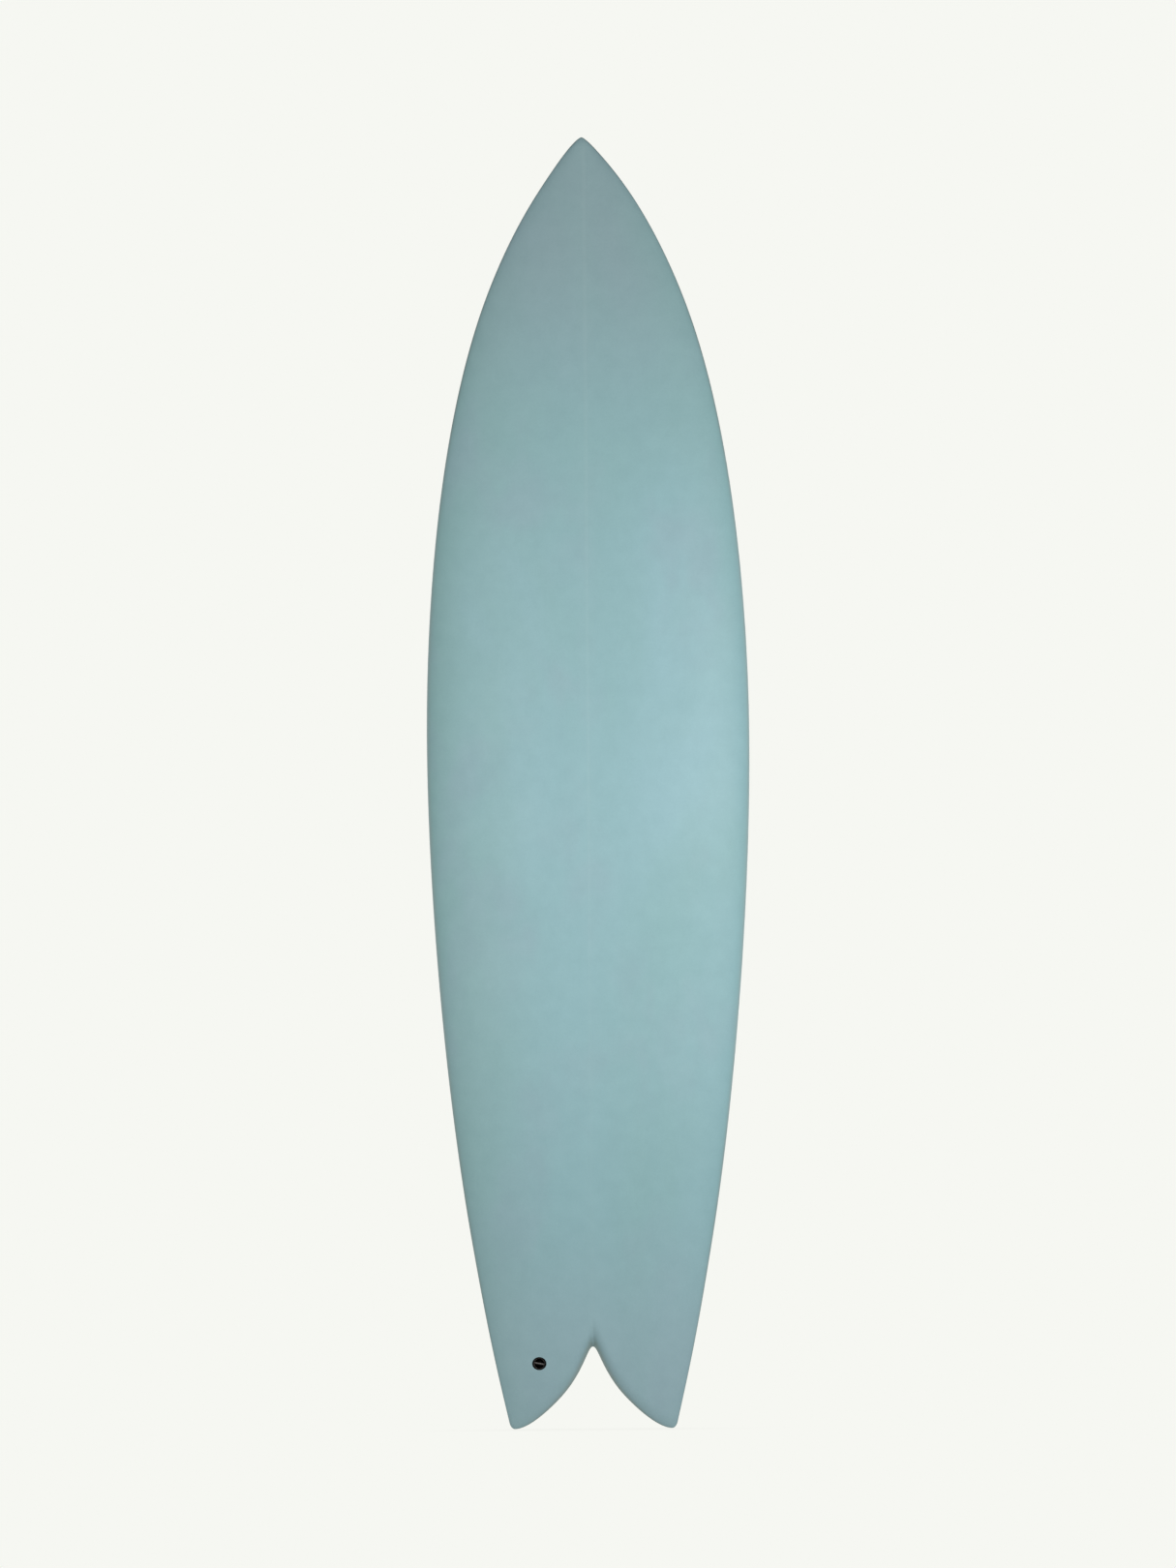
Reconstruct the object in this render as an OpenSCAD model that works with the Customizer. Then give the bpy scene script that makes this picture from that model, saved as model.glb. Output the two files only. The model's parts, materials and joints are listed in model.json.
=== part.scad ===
// Swallow-tail fish surfboard, stood on its tail tips with the nose up.
// +X is right as the deck is viewed, +Z runs from tail to nose, the deck faces -Y
// and the bottom with its two keels faces +Y. x = 0 is the centre of the stringer,
// z = 0 is the line through both tail tips, and y = 0 is the middle of the envelope.
// All lengths are millimetres and all angles are degrees.

/* [Board] */
// length from tail tips to nose tip
board_length = 2133.6; // [2030:0.1:2240]
// full width at the wide point
board_width = 533.4; // [520:0.1:560]
// greatest thickness, at the stringer
board_thickness = 69.85; // [64:0.05:78]
// how far the bottom lifts at the nose tip
nose_rocker = 118; // [90:1:140]
// how far the bottom lifts at the tail tips
tail_rocker = 50; // [35:1:60]
// depth of the swallow cut, from the tail tips up to the crotch
swallow_depth = 135.2; // [120:0.1:150]

/* [Construction] */
// thickness of the wooden stringer
stringer_thickness = 4.8; // [3:0.1:6]
// cloth and resin on the deck side
deck_glass_thickness = 1.2; // [1:0.05:1.5]
// cloth and resin on the bottom side
bottom_glass_thickness = 0.9; // [0.8:0.05:1.2]
// thickness of the second cloth layer under the tail deck
patch_thickness = 0.35; // [0.25:0.05:0.5]

/* [Leash plug] */
// distance of the plug centre from the stringer, on the left lobe
leash_x = 89; // [80:0.5:95]
// height of the plug centre above the tail tips
leash_z = 108; // [100:0.5:120]
// outside radius of the cup
cup_r = 12; // [11:0.1:13]
// radius of the round mouth
cup_mouth_r = 8.25; // [7.5:0.05:8.75]
// depth of the cup
cup_depth = 16; // [15:0.5:17]
// radius of the cord bar
bar_r = 2; // [1.5:0.1:2.2]
// angle of the bar to the line across the board
bar_angle = 10; // [0:1:30]

/* [Keels and plugs] */
// distance of each keel from the stringer
keel_x = 140; // [134:0.5:144]
// height of the keel's middle above the tail tips
keel_z = 240; // [235:1:260]
// outward lean of each keel
keel_cant = 6; // [3:0.5:7]
// angle by which the front of each keel points at the stringer
keel_toe = 1.5; // [0:0.25:2.5]
// length of the keel along the board
keel_base = 210; // [200:1:220]
// height of the keel above the bottom
keel_height = 122; // [110:1:130]
// greatest thickness of the keel
keel_thickness = 9; // [8:0.25:10]
// distance between the two tabs of one keel
tab_spacing = 108; // [100:1:116]
// length of a tab along the board
tab_length = 16.8; // [14:0.1:17.5]
// thickness of a tab
tab_width = 5; // [4.8:0.05:5.1]
// depth of a tab below the bottom surface
tab_depth = 12.6; // [11:0.1:13]
// radius of a fin plug
plug_r = 14.3; // [14:0.1:15]
// depth of a fin plug
plug_depth = 16; // [15:0.1:16.5]

/* [Grub screws] */
// radius of a grub screw
screw_r = 2.5; // [2.3:0.05:2.5]
// length of a grub screw
screw_length = 8; // [6:0.5:8]
// angle between a grub screw and its plug's axis
screw_tilt = 30; // [27:0.5:33]

/* [Display] */
// sub-part to show

/* [Hidden] */
$fn = 48;

// Throughout, side is -1 left or 1 right, and end is -1 front (noseward) or 1 rear.
// The template was drawn 533.6 wide and 2133.6 long; these fit it to the board.
width_scale = board_width / 533.6;
length_scale = board_length / 2133.6;
gap = 0.1;                              // bond line between laminated pieces
inner_x = stringer_thickness / 2 + 0.05; // where each foam half and half skin begins
skin_reach = 1.2;                       // how far the skins reach in from the rail apex
foam_inset = skin_reach + gap;

// ---- curves --------------------------------------------------------------------
function bezier(arc, t) = pow(1 - t, 3) * arc[0] + 3 * pow(1 - t, 2) * t * arc[1]
    + 3 * (1 - t) * t * t * arc[2] + pow(t, 3) * arc[3];
function tangent(arc, t) = 3 * pow(1 - t, 2) * (arc[1] - arc[0])
    + 6 * (1 - t) * t * (arc[2] - arc[1]) + 3 * t * t * (arc[3] - arc[2]);
// parameter at which one axis of an arc reaches a target, by halving;
// sense is -1 for an arc that falls along that axis and 1 for one that rises
function find_t(arc, axis, sense, target, low = 0, high = 1, steps = 26) =
    let (middle = (low + high) / 2)
    steps == 0 ? middle
    : sense * bezier(arc, middle)[axis] < sense * target
        ? find_t(arc, axis, sense, target, middle, high, steps - 1)
        : find_t(arc, axis, sense, target, low, middle, steps - 1);

// ---- outline of the right half, nose to tail -----------------------------------
// direction towards the tail, turned towards the stringer by an angle
function heading(angle) = [-sin(angle) * width_scale, -cos(angle) * length_scale];

// stations [x, z] of the template
station_inset = 304.8 * length_scale;   // nose and tail stations, from either end
nose_station = [177.6 * width_scale, board_length - station_inset];
wide_station = [board_width / 2, 1134.7 * length_scale];
tail_station = [197.7 * width_scale, station_inset];
corner_x = 139.6 * width_scale;
corner_z = 16;
corner = [corner_x, corner_z];
nose_heading = heading(-18.4);
tail_heading = heading(9.7);
wide_handle = [0, 238 * length_scale];

arc_nose = [[0, board_length], [13.9 * width_scale, board_length],
    nose_station - 200.7 * nose_heading, nose_station];
arc_fore = [nose_station, nose_station + 201.4 * nose_heading,
    wide_station + wide_handle, wide_station];
arc_aft = [wide_station, wide_station - wide_handle,
    tail_station - 264.5 * tail_heading, tail_station];
arc_tail = [tail_station, tail_station + 127.6 * tail_heading,
    corner - 107.5 * heading(13.4), corner];

// rail point and outward normal in plan, [x, z, normal x, normal z]
function rail_point(arc, t) =
    let (point = bezier(arc, t), along = tangent(arc, t), size = norm(along))
    [point[0], point[1], -along[1] / size, along[0] / size];
function rail(z) =
    let (arc = z >= nose_station[1] ? arc_nose
        : z >= wide_station[1] ? arc_fore
        : z >= tail_station[1] ? arc_aft : arc_tail)
    rail_point(arc, find_t(arc, 1, -1, z));

// swallow edge of the right lobe, from the crotch out to the tip
tip_x = 130 * width_scale;
tip_round = corner_x - tip_x;           // width of the round of the tip
swallow_mid = [44.1 * width_scale, 0.465 * swallow_depth];
swallow_heading = [cos(51.3) * width_scale, -sin(51.3) * swallow_depth / 135.2];
swallow_inner = [[0, swallow_depth], [8.5 * width_scale, swallow_depth],
    swallow_mid - 49.4 * swallow_heading, swallow_mid];
swallow_outer = [swallow_mid, swallow_mid + 17.8 * swallow_heading,
    [101.7 * width_scale, 0], [tip_x, 0]];
function swallow_arc(x) = x < swallow_mid[0] ? swallow_inner : swallow_outer;
function swallow_t(x) = find_t(swallow_arc(x), 0, 1, min(x, tip_x));
function swallow_z(x) = bezier(swallow_arc(x), swallow_t(x))[1];
function swallow_cos(x) =
    let (along = tangent(swallow_arc(x), swallow_t(x))) along[0] / norm(along);
// z of the tail edge, with the round of the tip, moved in by inset
function tail_end(x, inset) =
    x <= tip_x + 0.001 ? swallow_z(x) + inset / swallow_cos(x)
    : let (share = min(1, (x - tip_x) / (tip_round - inset)))
        corner_z - (corner_z - inset) * sqrt(1 - share * share);
// how steeply the rolled edge fades in along z; the crotch keeps its neighbours'
// value, which leaves the crease
crease_x = 12 * width_scale;
function fade_cos(x) =
    x <= crease_x ? swallow_cos(crease_x)
    : x <= tip_x ? swallow_cos(x)
    : max(0.5, 1 - 0.5 * (x - tip_x) / tip_round);

// ---- side profile --------------------------------------------------------------
low_z = 1000 * length_scale;            // lowest point of the rocker
thick_z = 1150 * length_scale;          // thickest station
rail_z = 1100 * length_scale;           // where the rail's section starts to change
nose_thickness = 9;
tail_thickness = 15;
apex_share = 0.36;                      // rail apex height as a share of the thickness
apex_nose_gain = 0.14;
apex_tail_loss = 0.16;
soft_tuck = 12;                         // power of the bottom's edge curve, nose to middle
tail_tuck_gain = 16;                    // added towards the tail, for a harder edge
tuck_run = 700 * length_scale;          // length over which it is added

// share of the way from a station to the nose, and to the tail
function fore(z, start) = (z - start) / (board_length - start);
function aft(z, start) = (start - z) / start;
function rocker(z) = z > low_z ? nose_rocker * pow(fore(z, low_z), 2.6)
    : tail_rocker * pow(aft(z, low_z), 2.3);
// slope of the bottom's y along z
function slope(z) = (rocker(z - 1) - rocker(z + 1)) / 2;
function thickness(z) = z > thick_z
    ? nose_thickness + (board_thickness - nose_thickness) * (1 - pow(fore(z, thick_z), 2))
    : tail_thickness + (board_thickness - tail_thickness) * (1 - pow(aft(z, thick_z), 2.1));
function apex(z) = thickness(z) * (z > rail_z
    ? apex_share + apex_nose_gain * pow(fore(z, rail_z), 2)
    : apex_share - apex_tail_loss * pow(aft(z, rail_z), 1.5));
function tuck(z) = z > rail_z ? soft_tuck
    : soft_tuck + tail_tuck_gain * min(1, (rail_z - z) / tuck_run);
// section height from stringer (share 0) to rail (share 1), on the deck and the bottom
function crown(share) = pow(max(0, 1 - pow(share, 2.5)), 0.556);
function flat_out(share, z) = sqrt(max(0, 1 - pow(share, tuck(z))));
// how full the section is at a share of the way in from the nose or tail edge
function roll(share, power) =
    share >= 1 ? 1 : share <= 0 ? 0 : pow(1 - pow(1 - share, 2.2), power);

// ---- grids ---------------------------------------------------------------------
cols = 14;
// the columns crowd towards the rail, and the fourth from last meets the lowest
// point of the tail tip
crowding = ln((corner_x - tip_x) / (corner_x - inner_x)) / ln(4 / cols);
col_shares = [for (j = [0 : cols]) 1 - pow(1 - j / cols, crowding)];
tail_rows_z = 600 * length_scale;       // straight rows end here and the tail's begin
// positions of the nose rows, as parameters of arc_nose
nose_ts = [0.075, 0.095, 0.125, 0.165, 0.215, 0.28, 0.36, 0.46, 0.58, 0.71, 0.85, 1];
// positions of the tail rows, as shares of the way to the tail edge
tail_shares = [0.12, 0.24, 0.36, 0.48, 0.59, 0.69, 0.77, 0.835, 0.885, 0.92, 0.945,
    0.963, 0.976, 0.986, 0.993, 0.998, 1];
nose_rows = len(nose_ts);
arched_rows = 5;                        // first nose rows, which arch towards the tip
fore_rows = 11;                         // straight rows ahead of the wide point
aft_rows = 9;                           // straight rows behind it
tail_from = nose_rows + fore_rows + aft_rows;
rows = tail_from + len(tail_shares);
patch_from = tail_from + 2;             // first row of the deck patch
patch_to = rows - 6;
patch_cols = 10;

// lengths over which the edges fade in, and the powers of their curves
nose_fade = 15;
nose_bottom_rate = 1.6;                 // the bottom fades in this much faster
nose_power = 0.55;
tail_deck_fade = 20;
tail_bottom_fade = 7;
tail_power = 0.556;

function across(share, edge_x) = inner_x + share * (edge_x - inner_x);

// a place is [x, z, column share, edge fade on the deck, edge fade on the bottom];
// each row of places is moved in from the outline by inset
function nose_row(i, inset) =
    let (edge = rail_point(arc_nose, nose_ts[i]),
        first = rail_point(arc_nose, nose_ts[0]),
        edge_z = edge[1] - inset * edge[3],
        tip_rise = (board_length - first[1]) - inset * (1 - first[3]),
        arch = tip_rise * pow(max(0, 1 - i / arched_rows), 2),
        fade = (first[1] - edge[1]) / nose_fade)
    [for (u = col_shares) [across(u, edge[0] - inset * edge[2]), edge_z + arch * (1 - u * u),
        u, roll(fade, nose_power), roll(fade * nose_bottom_rate, nose_power)]];
function straight_row(step, inset) =
    let (nose_z = nose_station[1], wide_z = wide_station[1],
        z = step <= fore_rows ? nose_z + step / fore_rows * (wide_z - nose_z)
            : wide_z + (step - fore_rows) / aft_rows * (tail_rows_z - wide_z),
        edge = rail(z))
    [for (u = col_shares) [across(u, edge[0] - inset / edge[2]), z, u, 1, 1]];
function tail_edge(v) = rail(tail_rows_z + v * (corner_z - tail_rows_z));
// place at column share u and tail share v, whose rail point is edge
function tail_place(u, v, edge, inset) =
    let (end_x = across(u, corner_x),
        inset_z = tail_end(across(u, corner_x - inset), inset),
        from_end = (1 - v) * (tail_rows_z - tail_end(end_x, 0)) * fade_cos(end_x))
    [across(u, edge[0] - inset / edge[2]), tail_rows_z + v * (inset_z - tail_rows_z), u,
        roll(from_end / tail_deck_fade, tail_power),
        roll(from_end / tail_bottom_fade, tail_power)];
function tail_row(v, inset) =
    let (edge = tail_edge(v)) [for (u = col_shares) tail_place(u, v, edge, inset)];
function plan_row(i, inset) =
    i < nose_rows ? nose_row(i, inset)
    : i < tail_from ? straight_row(i - nose_rows + 1, inset)
    : tail_row(tail_shares[i - tail_from], inset);

// y of the deck and bottom at a place, at a depth below the surface, with y = 0 at
// the bottom's lowest point of rocker
function deck_y(place, depth) =
    let (z = place[1], rail_height = apex(z))
    -rocker(z) - rail_height
        - (thickness(z) - rail_height - depth) * crown(place[2]) * place[3];
function bottom_y(place, depth) =
    let (z = place[1], rail_height = apex(z))
    -rocker(z) - rail_height + (rail_height - depth) * flat_out(place[2], z) * place[4];

// ---- keel shape ----------------------------------------------------------------
blade_levels = [0, 0.1, 0.22, 0.34, 0.46, 0.58, 0.69, 0.79, 0.87, 0.93, 0.97, 0.99, 1];
base_height = 8;                        // where the base ends and the blade begins
foil_steps = 12;
foil_shares = [for (i = [0 : foil_steps]) (1 - cos(180 * i / foil_steps)) / 2];
outer_share = 0.72;                     // share of the thickness on the outboard face
inner_share = 0.28;
inner_flat = 0.15;                      // inboard face's extra offset

// outline arcs, [share of half the base towards the rear, share of the height]
function keel_arc(shares) =
    [for (p = shares) [p[0] * keel_base / 2, p[1] * keel_height]];
trailing_split = 0.82;                  // height share where the trailing arcs meet
leading_arc = keel_arc([[-1, 0], [-0.68, 0.36], [-0.16, 0.9], [0.6, 1.005]]);
trailing_low = keel_arc([[1, 0], [0.86, 0.24], [0.8, 0.56], [0.9, trailing_split]]);
trailing_top = keel_arc([[0.9, trailing_split], [0.96, 0.96], [0.84, 1.004], [0.62, 1.004]]);
function edge_at(arc, height) = bezier(arc, find_t(arc, 1, 1, height))[0];
function foil(c) = 2.6 * sqrt(c) * (1 - c) + 0.09 * min(1, 8 * c);
// closed section [x, y] at a height, rounded outboard and nearly flat inboard
function section(height, side) =
    let (front = edge_at(leading_arc, height),
        rear = edge_at(height < keel_height * trailing_split ? trailing_low : trailing_top,
            height),
        width = keel_thickness * (0.16 + 0.84 * pow(max(0, 1 - height / keel_height), 0.62)))
    concat(
        [for (c = foil_shares) [side * width * outer_share * foil(c), front + c * (rear - front)]],
        [for (i = [foil_steps - 1 : -1 : 1]) let (c = foil_shares[i])
            [-side * (width * inner_share * foil(c) + inner_flat), front + c * (rear - front)]]);

// ---- envelope, centred on y = 0 ------------------------------------------------
keel_slope = atan(slope(keel_z));
// y of a point of the right keel, from the keel's middle on the bottom; toe left out
function keel_point_y(x, y, height) =
    (height * cos(keel_cant) - x * sin(keel_cant)) * cos(keel_slope) - y * sin(keel_slope);
deck_low = min([for (i = [0 : rows - 1]) deck_y(plan_row(i, 0)[0], 0)]);
keel_high = max([for (level = blade_levels) for (q = section(level * keel_height * 0.999, 1))
    keel_point_y(q[0], q[1], level * keel_height)]) - rocker(keel_z);
y_shift = -(deck_low + keel_high) / 2;

// ---- frames of the keels, plugs and screws -------------------------------------
// keel frame: x across, y towards the tail, z out of the bottom
module keel_frame(side)
    translate([side * keel_x, y_shift - rocker(keel_z), keel_z])
    rotate([-90 - keel_slope, 0, 0])
    rotate([0, side * keel_cant, 0])
    rotate([0, 0, -side * keel_toe])
    children();
// turns the keel frame back to lie along the bottom
module undo_lean(side)
    rotate([0, 0, side * keel_toe]) rotate([0, -side * keel_cant, 0]) children();

function plug_y(end) = end * tab_spacing / 2;
function plug_z(end) = keel_z - plug_y(end) * cos(keel_slope);
// height of the bottom at a plug over the tangent plane at the keel's middle
function plug_rise(end) =
    (rocker(keel_z) - rocker(plug_z(end)) + (keel_z - plug_z(end)) * tan(keel_slope))
    * cos(keel_slope);
function plug_tilt(end) = atan(slope(plug_z(end))) - keel_slope;
module plug_frame(side, end)
    keel_frame(side) translate([0, plug_y(end), plug_rise(end)]) children();

screw_x = 9.2;                          // from the tab's centre to the screw's mouth
tip_r = 1.6;                            // small end of the screw's cone
tip_length = 1.2;
tab_clearance = 0.05;
module screw_frame(side)
    translate([-side * screw_x, 0, -screw_x * tan(keel_cant)])
    rotate([0, -side * screw_tilt, 0])
    children();
// how far a screw goes in before its tip, or the tip's shoulder, is at the clearance
screw_in = min([for (p = [[tip_r, 0], [screw_r, tip_length]])
    (screw_x - tab_width / 2 - tab_clearance - cos(screw_tilt) * p[0]) / sin(screw_tilt) + p[1]]);

// ---- surface grids of the right half -------------------------------------------
function deck_point(place, depth) = [place[0], y_shift + deck_y(place, depth), place[1]];
function bottom_point(place, depth) = [place[0], y_shift + bottom_y(place, depth), place[1]];
function flip_x(p) = [-p[0], p[1], p[2]];
function over_patch(i) = i >= patch_from && i <= patch_to + 1;
// patch_depth is added under the deck patch
function deck_grid(inset, depth, first = 0, last = rows - 1, last_col = cols, patch_depth = 0) =
    [for (i = [first : last]) let (row = plan_row(i, inset))
        [for (j = [0 : last_col])
            deck_point(row[j], depth + (over_patch(i) ? patch_depth : 0))]];
rim_lift = 0.06;                        // parts the bottom skin's rim from the deck skin's
function bottom_grid(inset, depth) =
    [for (i = [0 : rows - 1]) let (row = plan_row(i, inset))
        [for (j = [0 : cols]) bottom_point(row[j], depth)
            + [0, i == 0 || i == rows - 1 || j == cols ? rim_lift : 0, 0]]];

foam_deck = deck_grid(foam_inset, deck_glass_thickness + gap,
    patch_depth = patch_thickness + gap);
// without the boundary, which is shared with foam_deck
foam_bottom = [for (i = [1 : rows - 2]) let (row = plan_row(i, foam_inset))
    [for (j = [0 : cols - 1]) bottom_point(row[j], bottom_glass_thickness + gap)]];

// ---- leash plug frame, found on the left deck by two-way iteration -------------
function leash_deck(u, v) = flip_x(deck_point(tail_place(u, v, tail_edge(v), 0), 0));
function find_leash(u, v, steps = 8) =
    steps == 0 ? [u, v]
    : let (next_u = (leash_x - inner_x) / (tail_edge(v)[0] - inner_x),
        end_z = tail_end(across(next_u, corner_x), 0))
        find_leash(next_u, (leash_z - tail_rows_z) / (end_z - tail_rows_z), steps - 1);
leash_uv = find_leash(0.5, 0.9);
leash_u = leash_uv[0];
leash_v = leash_uv[1];
leash_cross = cross(
    leash_deck(leash_u + 0.03, leash_v) - leash_deck(leash_u - 0.03, leash_v),
    leash_deck(leash_u, leash_v + 0.01) - leash_deck(leash_u, leash_v - 0.01));
leash_normal = leash_cross / norm(leash_cross) * (leash_cross[1] > 0 ? -1 : 1);
module leash_frame()
    translate(leash_deck(leash_u, leash_v))
    rotate([0, 0, atan2(leash_normal[0], -leash_normal[1])])
    rotate([90 - asin(leash_normal[2]), 0, 0])
    children();

// ---- mesh helpers --------------------------------------------------------------
function flat(lists) = [for (list = lists) each list];
function reversed(list) = [for (i = [len(list) - 1 : -1 : 0]) list[i]];
function wind(faces, flip) = flip ? [for (face = faces) reversed(face)] : faces;
// two triangles over the cell a, b (next column), c (next row), d (both);
// turned uses the other diagonal
function cell(a, b, c, d, flip, turned = false) =
    wind(turned ? [[a, d, c], [a, b, d]] : [[a, b, c], [b, d, c]], flip);
// triangles over a grid whose first point has index start; the last cell is turned
function grid_faces(start, n_rows, n_cols, flip) =
    [for (i = [0 : n_rows - 2]) for (j = [0 : n_cols - 2])
        let (a = start + i * n_cols + j, c = a + n_cols)
        each cell(a, a + 1, c, c + 1, flip, i == n_rows - 2 && j == n_cols - 2)];
// boundary of one half's grid: nose row, rail column and tail row
function rim_path(start, n_rows, n_cols) = concat(
    [for (j = [0 : n_cols - 1]) start + j],
    [for (i = [1 : n_rows - 1]) start + i * n_cols + n_cols - 1],
    [for (j = [n_cols - 2 : -1 : 0]) start + (n_rows - 1) * n_cols + j]);
function strip(p, q, flip) =
    [for (i = [0 : len(p) - 2]) each cell(p[i], p[i + 1], q[i], q[i + 1], flip)];

// thin shell over both halves, from the right half's outer and inner grids; the
// points run right outer, left outer, right inner, left inner, each size long
module shell(outer, inner, flip) {
    n_rows = len(outer);
    n_cols = len(outer[0]);
    size = n_rows * n_cols;
    last = size - n_cols;
    out = flat(outer);
    in = flat(inner);
    points = concat(out, [for (p = out) flip_x(p)], in, [for (p = in) flip_x(p)]);
    rims = [for (k = [0 : 3]) rim_path(k * size, n_rows, n_cols)];
    surfaces = [for (k = [0 : 3]) each grid_faces(k * size, n_rows, n_cols, k == 1 || k == 2)];
    middle = [for (a = [0 : n_cols : last - n_cols]) let (b = a + n_cols) each [
        [a, b, b + size, a + size],
        [a + 2 * size, a + 3 * size, b + 3 * size, b + 2 * size]]];
    ends = [
        [0, size, 3 * size, 2 * size],
        [last, last + 2 * size, last + 3 * size, last + size]];
    faces = concat(surfaces, strip(rims[0], rims[2], true), strip(rims[1], rims[3], false),
        middle, ends);
    polyhedron(points, wind(faces, flip), convexity = 6);
}

// ---- blank and skins -----------------------------------------------------------
// holes for a plug, with a bond line round it: blind in the foam, right through a skin
module pocket(radius, depth)
    translate([0, 0, -depth - gap]) cylinder(r = radius + gap, h = depth + 12);
module skin_hole(radius)
    translate([0, 0, -8]) cylinder(r = radius + gap, h = 16);

module foam_body(side) {
    n_cols = cols + 1;
    right = concat(flat(foam_deck), flat(foam_bottom));
    // index of a bottom point; the boundary is shared with the deck
    function bottom_index(i, j) = i == 0 || i == rows - 1 || j == cols
        ? i * n_cols + j : rows * n_cols + (i - 1) * cols + j;
    deck = grid_faces(0, rows, n_cols, false);
    bottom = [for (i = [0 : rows - 2]) for (j = [0 : cols - 1])
        each cell(bottom_index(i, j), bottom_index(i, j + 1),
            bottom_index(i + 1, j), bottom_index(i + 1, j + 1),
            true, i == rows - 2 && j == cols - 1)];
    // wall against the stringer, a triangle at either end
    wall = [for (i = [0 : rows - 2])
        let (a = i * n_cols, b = a + n_cols, c = bottom_index(i + 1, 0), d = bottom_index(i, 0))
        i == 0 ? [a, b, c] : i == rows - 2 ? [a, b, d] : [a, b, c, d]];
    polyhedron(side < 0 ? [for (p = right) flip_x(p)] : right,
        wind(concat(deck, bottom, wall), side < 0), convexity = 6);
}
module foam(side) difference() {
    foam_body(side);
    for (end = [-1, 1]) plug_frame(side, end) pocket(plug_r, plug_depth);
    if (side < 0) leash_frame() pocket(cup_r, cup_depth);
}
module foam_blank_left() color([0.93, 0.92, 0.87]) foam(-1);
module foam_blank_right() color([0.93, 0.92, 0.87]) foam(1);

module stringer() color([0.76, 0.6, 0.4]) {
    deck = [for (row = foam_deck) [row[0][1], row[0][2]]];
    bottom = [for (row = foam_bottom) [row[0][1], row[0][2]]];
    rotate([90, 0, 90]) linear_extrude(height = stringer_thickness, center = true)
        polygon(concat(deck, reversed(bottom)));
}

module deck_glass() color([0.56, 0.72, 0.75]) difference() {
    shell(deck_grid(0, 0), deck_grid(skin_reach, deck_glass_thickness), false);
    leash_frame() skin_hole(cup_r);
}

module bottom_glass() color([0.52, 0.68, 0.71]) difference() {
    shell(bottom_grid(0, 0), bottom_grid(skin_reach, bottom_glass_thickness), true);
    for (side = [-1, 1]) for (end = [-1, 1]) plug_frame(side, end) skin_hole(plug_r);
}

patch_outer_inset = skin_reach + 0.05;
patch_inner_inset = skin_reach + 0.08;
module deck_patch() color([0.85, 0.87, 0.86]) difference() {
    top = deck_glass_thickness + gap * 0.8;
    shell(deck_grid(patch_outer_inset, top, patch_from, patch_to, patch_cols),
        deck_grid(patch_inner_inset, top + patch_thickness, patch_from, patch_to, patch_cols),
        false);
    leash_frame() skin_hole(cup_r);
}

// ---- leash plug ----------------------------------------------------------------
bar_length = 2 * (cup_r - 1.4);
bar_down = bar_r + 3.6;                 // bar's axis below the deck
cup_floor = 2;
cup_lip = 3;                            // depth of the mouth, above the hollow
module cord_bar(radius, length)
    rotate([0, 0, -bar_angle]) translate([0, 0, -bar_down]) rotate([0, 90, 0])
    cylinder(r = radius, h = length, center = true);

module leash_plug_cup() color([0.07, 0.07, 0.07]) leash_frame() difference() {
    translate([0, 0, -cup_depth]) cylinder(r = cup_r, h = cup_depth);
    translate([0, 0, -cup_lip]) cylinder(r = cup_mouth_r, h = cup_lip + 1);
    translate([0, 0, -cup_depth + cup_floor])
        cylinder(r = cup_mouth_r - 0.2, h = cup_depth - cup_floor - cup_lip + 0.1);
    // chamfer of the mouth
    translate([0, 0, -0.6]) cylinder(r1 = cup_mouth_r, r2 = cup_mouth_r + 0.7, h = 0.7);
    cord_bar(bar_r + 0.03, bar_length + 0.1);
}
module leash_plug_bar() color([0.55, 0.55, 0.55]) leash_frame() cord_bar(bar_r, bar_length);

// ---- fin plugs, keels and screws -----------------------------------------------
slot_length = tab_length + 0.2;
slot_width = tab_width + 0.2;
slot_depth = tab_depth + 0.5;
module fin_plug(side, end) color([0.88, 0.88, 0.85]) plug_frame(side, end) difference() {
    translate([0, 0, -plug_depth]) cylinder(r = plug_r, h = plug_depth + 4);
    // trims the top flush with the bottom of the board
    undo_lean(side) rotate([-plug_tilt(end), 0, 0])
        translate([-60, -60, 0]) cube([120, 120, 60]);
    translate([-slot_width / 2, -slot_length / 2, -slot_depth])
        cube([slot_width, slot_length, 30]);
    screw_frame(side) translate([0, 0, -screw_in - 0.4])
        cylinder(r = screw_r + 0.05, h = screw_in + 6);
}
module fin_plug_left_front() fin_plug(-1, -1);
module fin_plug_left_rear() fin_plug(-1, 1);
module fin_plug_right_front() fin_plug(1, -1);
module fin_plug_right_rear() fin_plug(1, 1);

root_sink = 3;                          // overlap of the base's stock and its tabs
base_clearance = 0.3;                   // between the base and the bottom
module keel_base_part(side) color([0.8, 0.79, 0.72]) keel_frame(side) union() {
    difference() {
        translate([0, 0, -root_sink]) linear_extrude(height = base_height + root_sink)
            polygon(section(base_height / 2, side));
        undo_lean(side) translate([-150, -150, base_clearance - 30]) cube([300, 300, 30]);
    }
    for (end = [-1, 1])
        translate([-tab_width / 2, plug_y(end) - tab_length / 2, -tab_depth])
            cube([tab_width, tab_length, tab_depth + root_sink]);
}
module keel_base_left() keel_base_part(-1);
module keel_base_right() keel_base_part(1);

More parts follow.
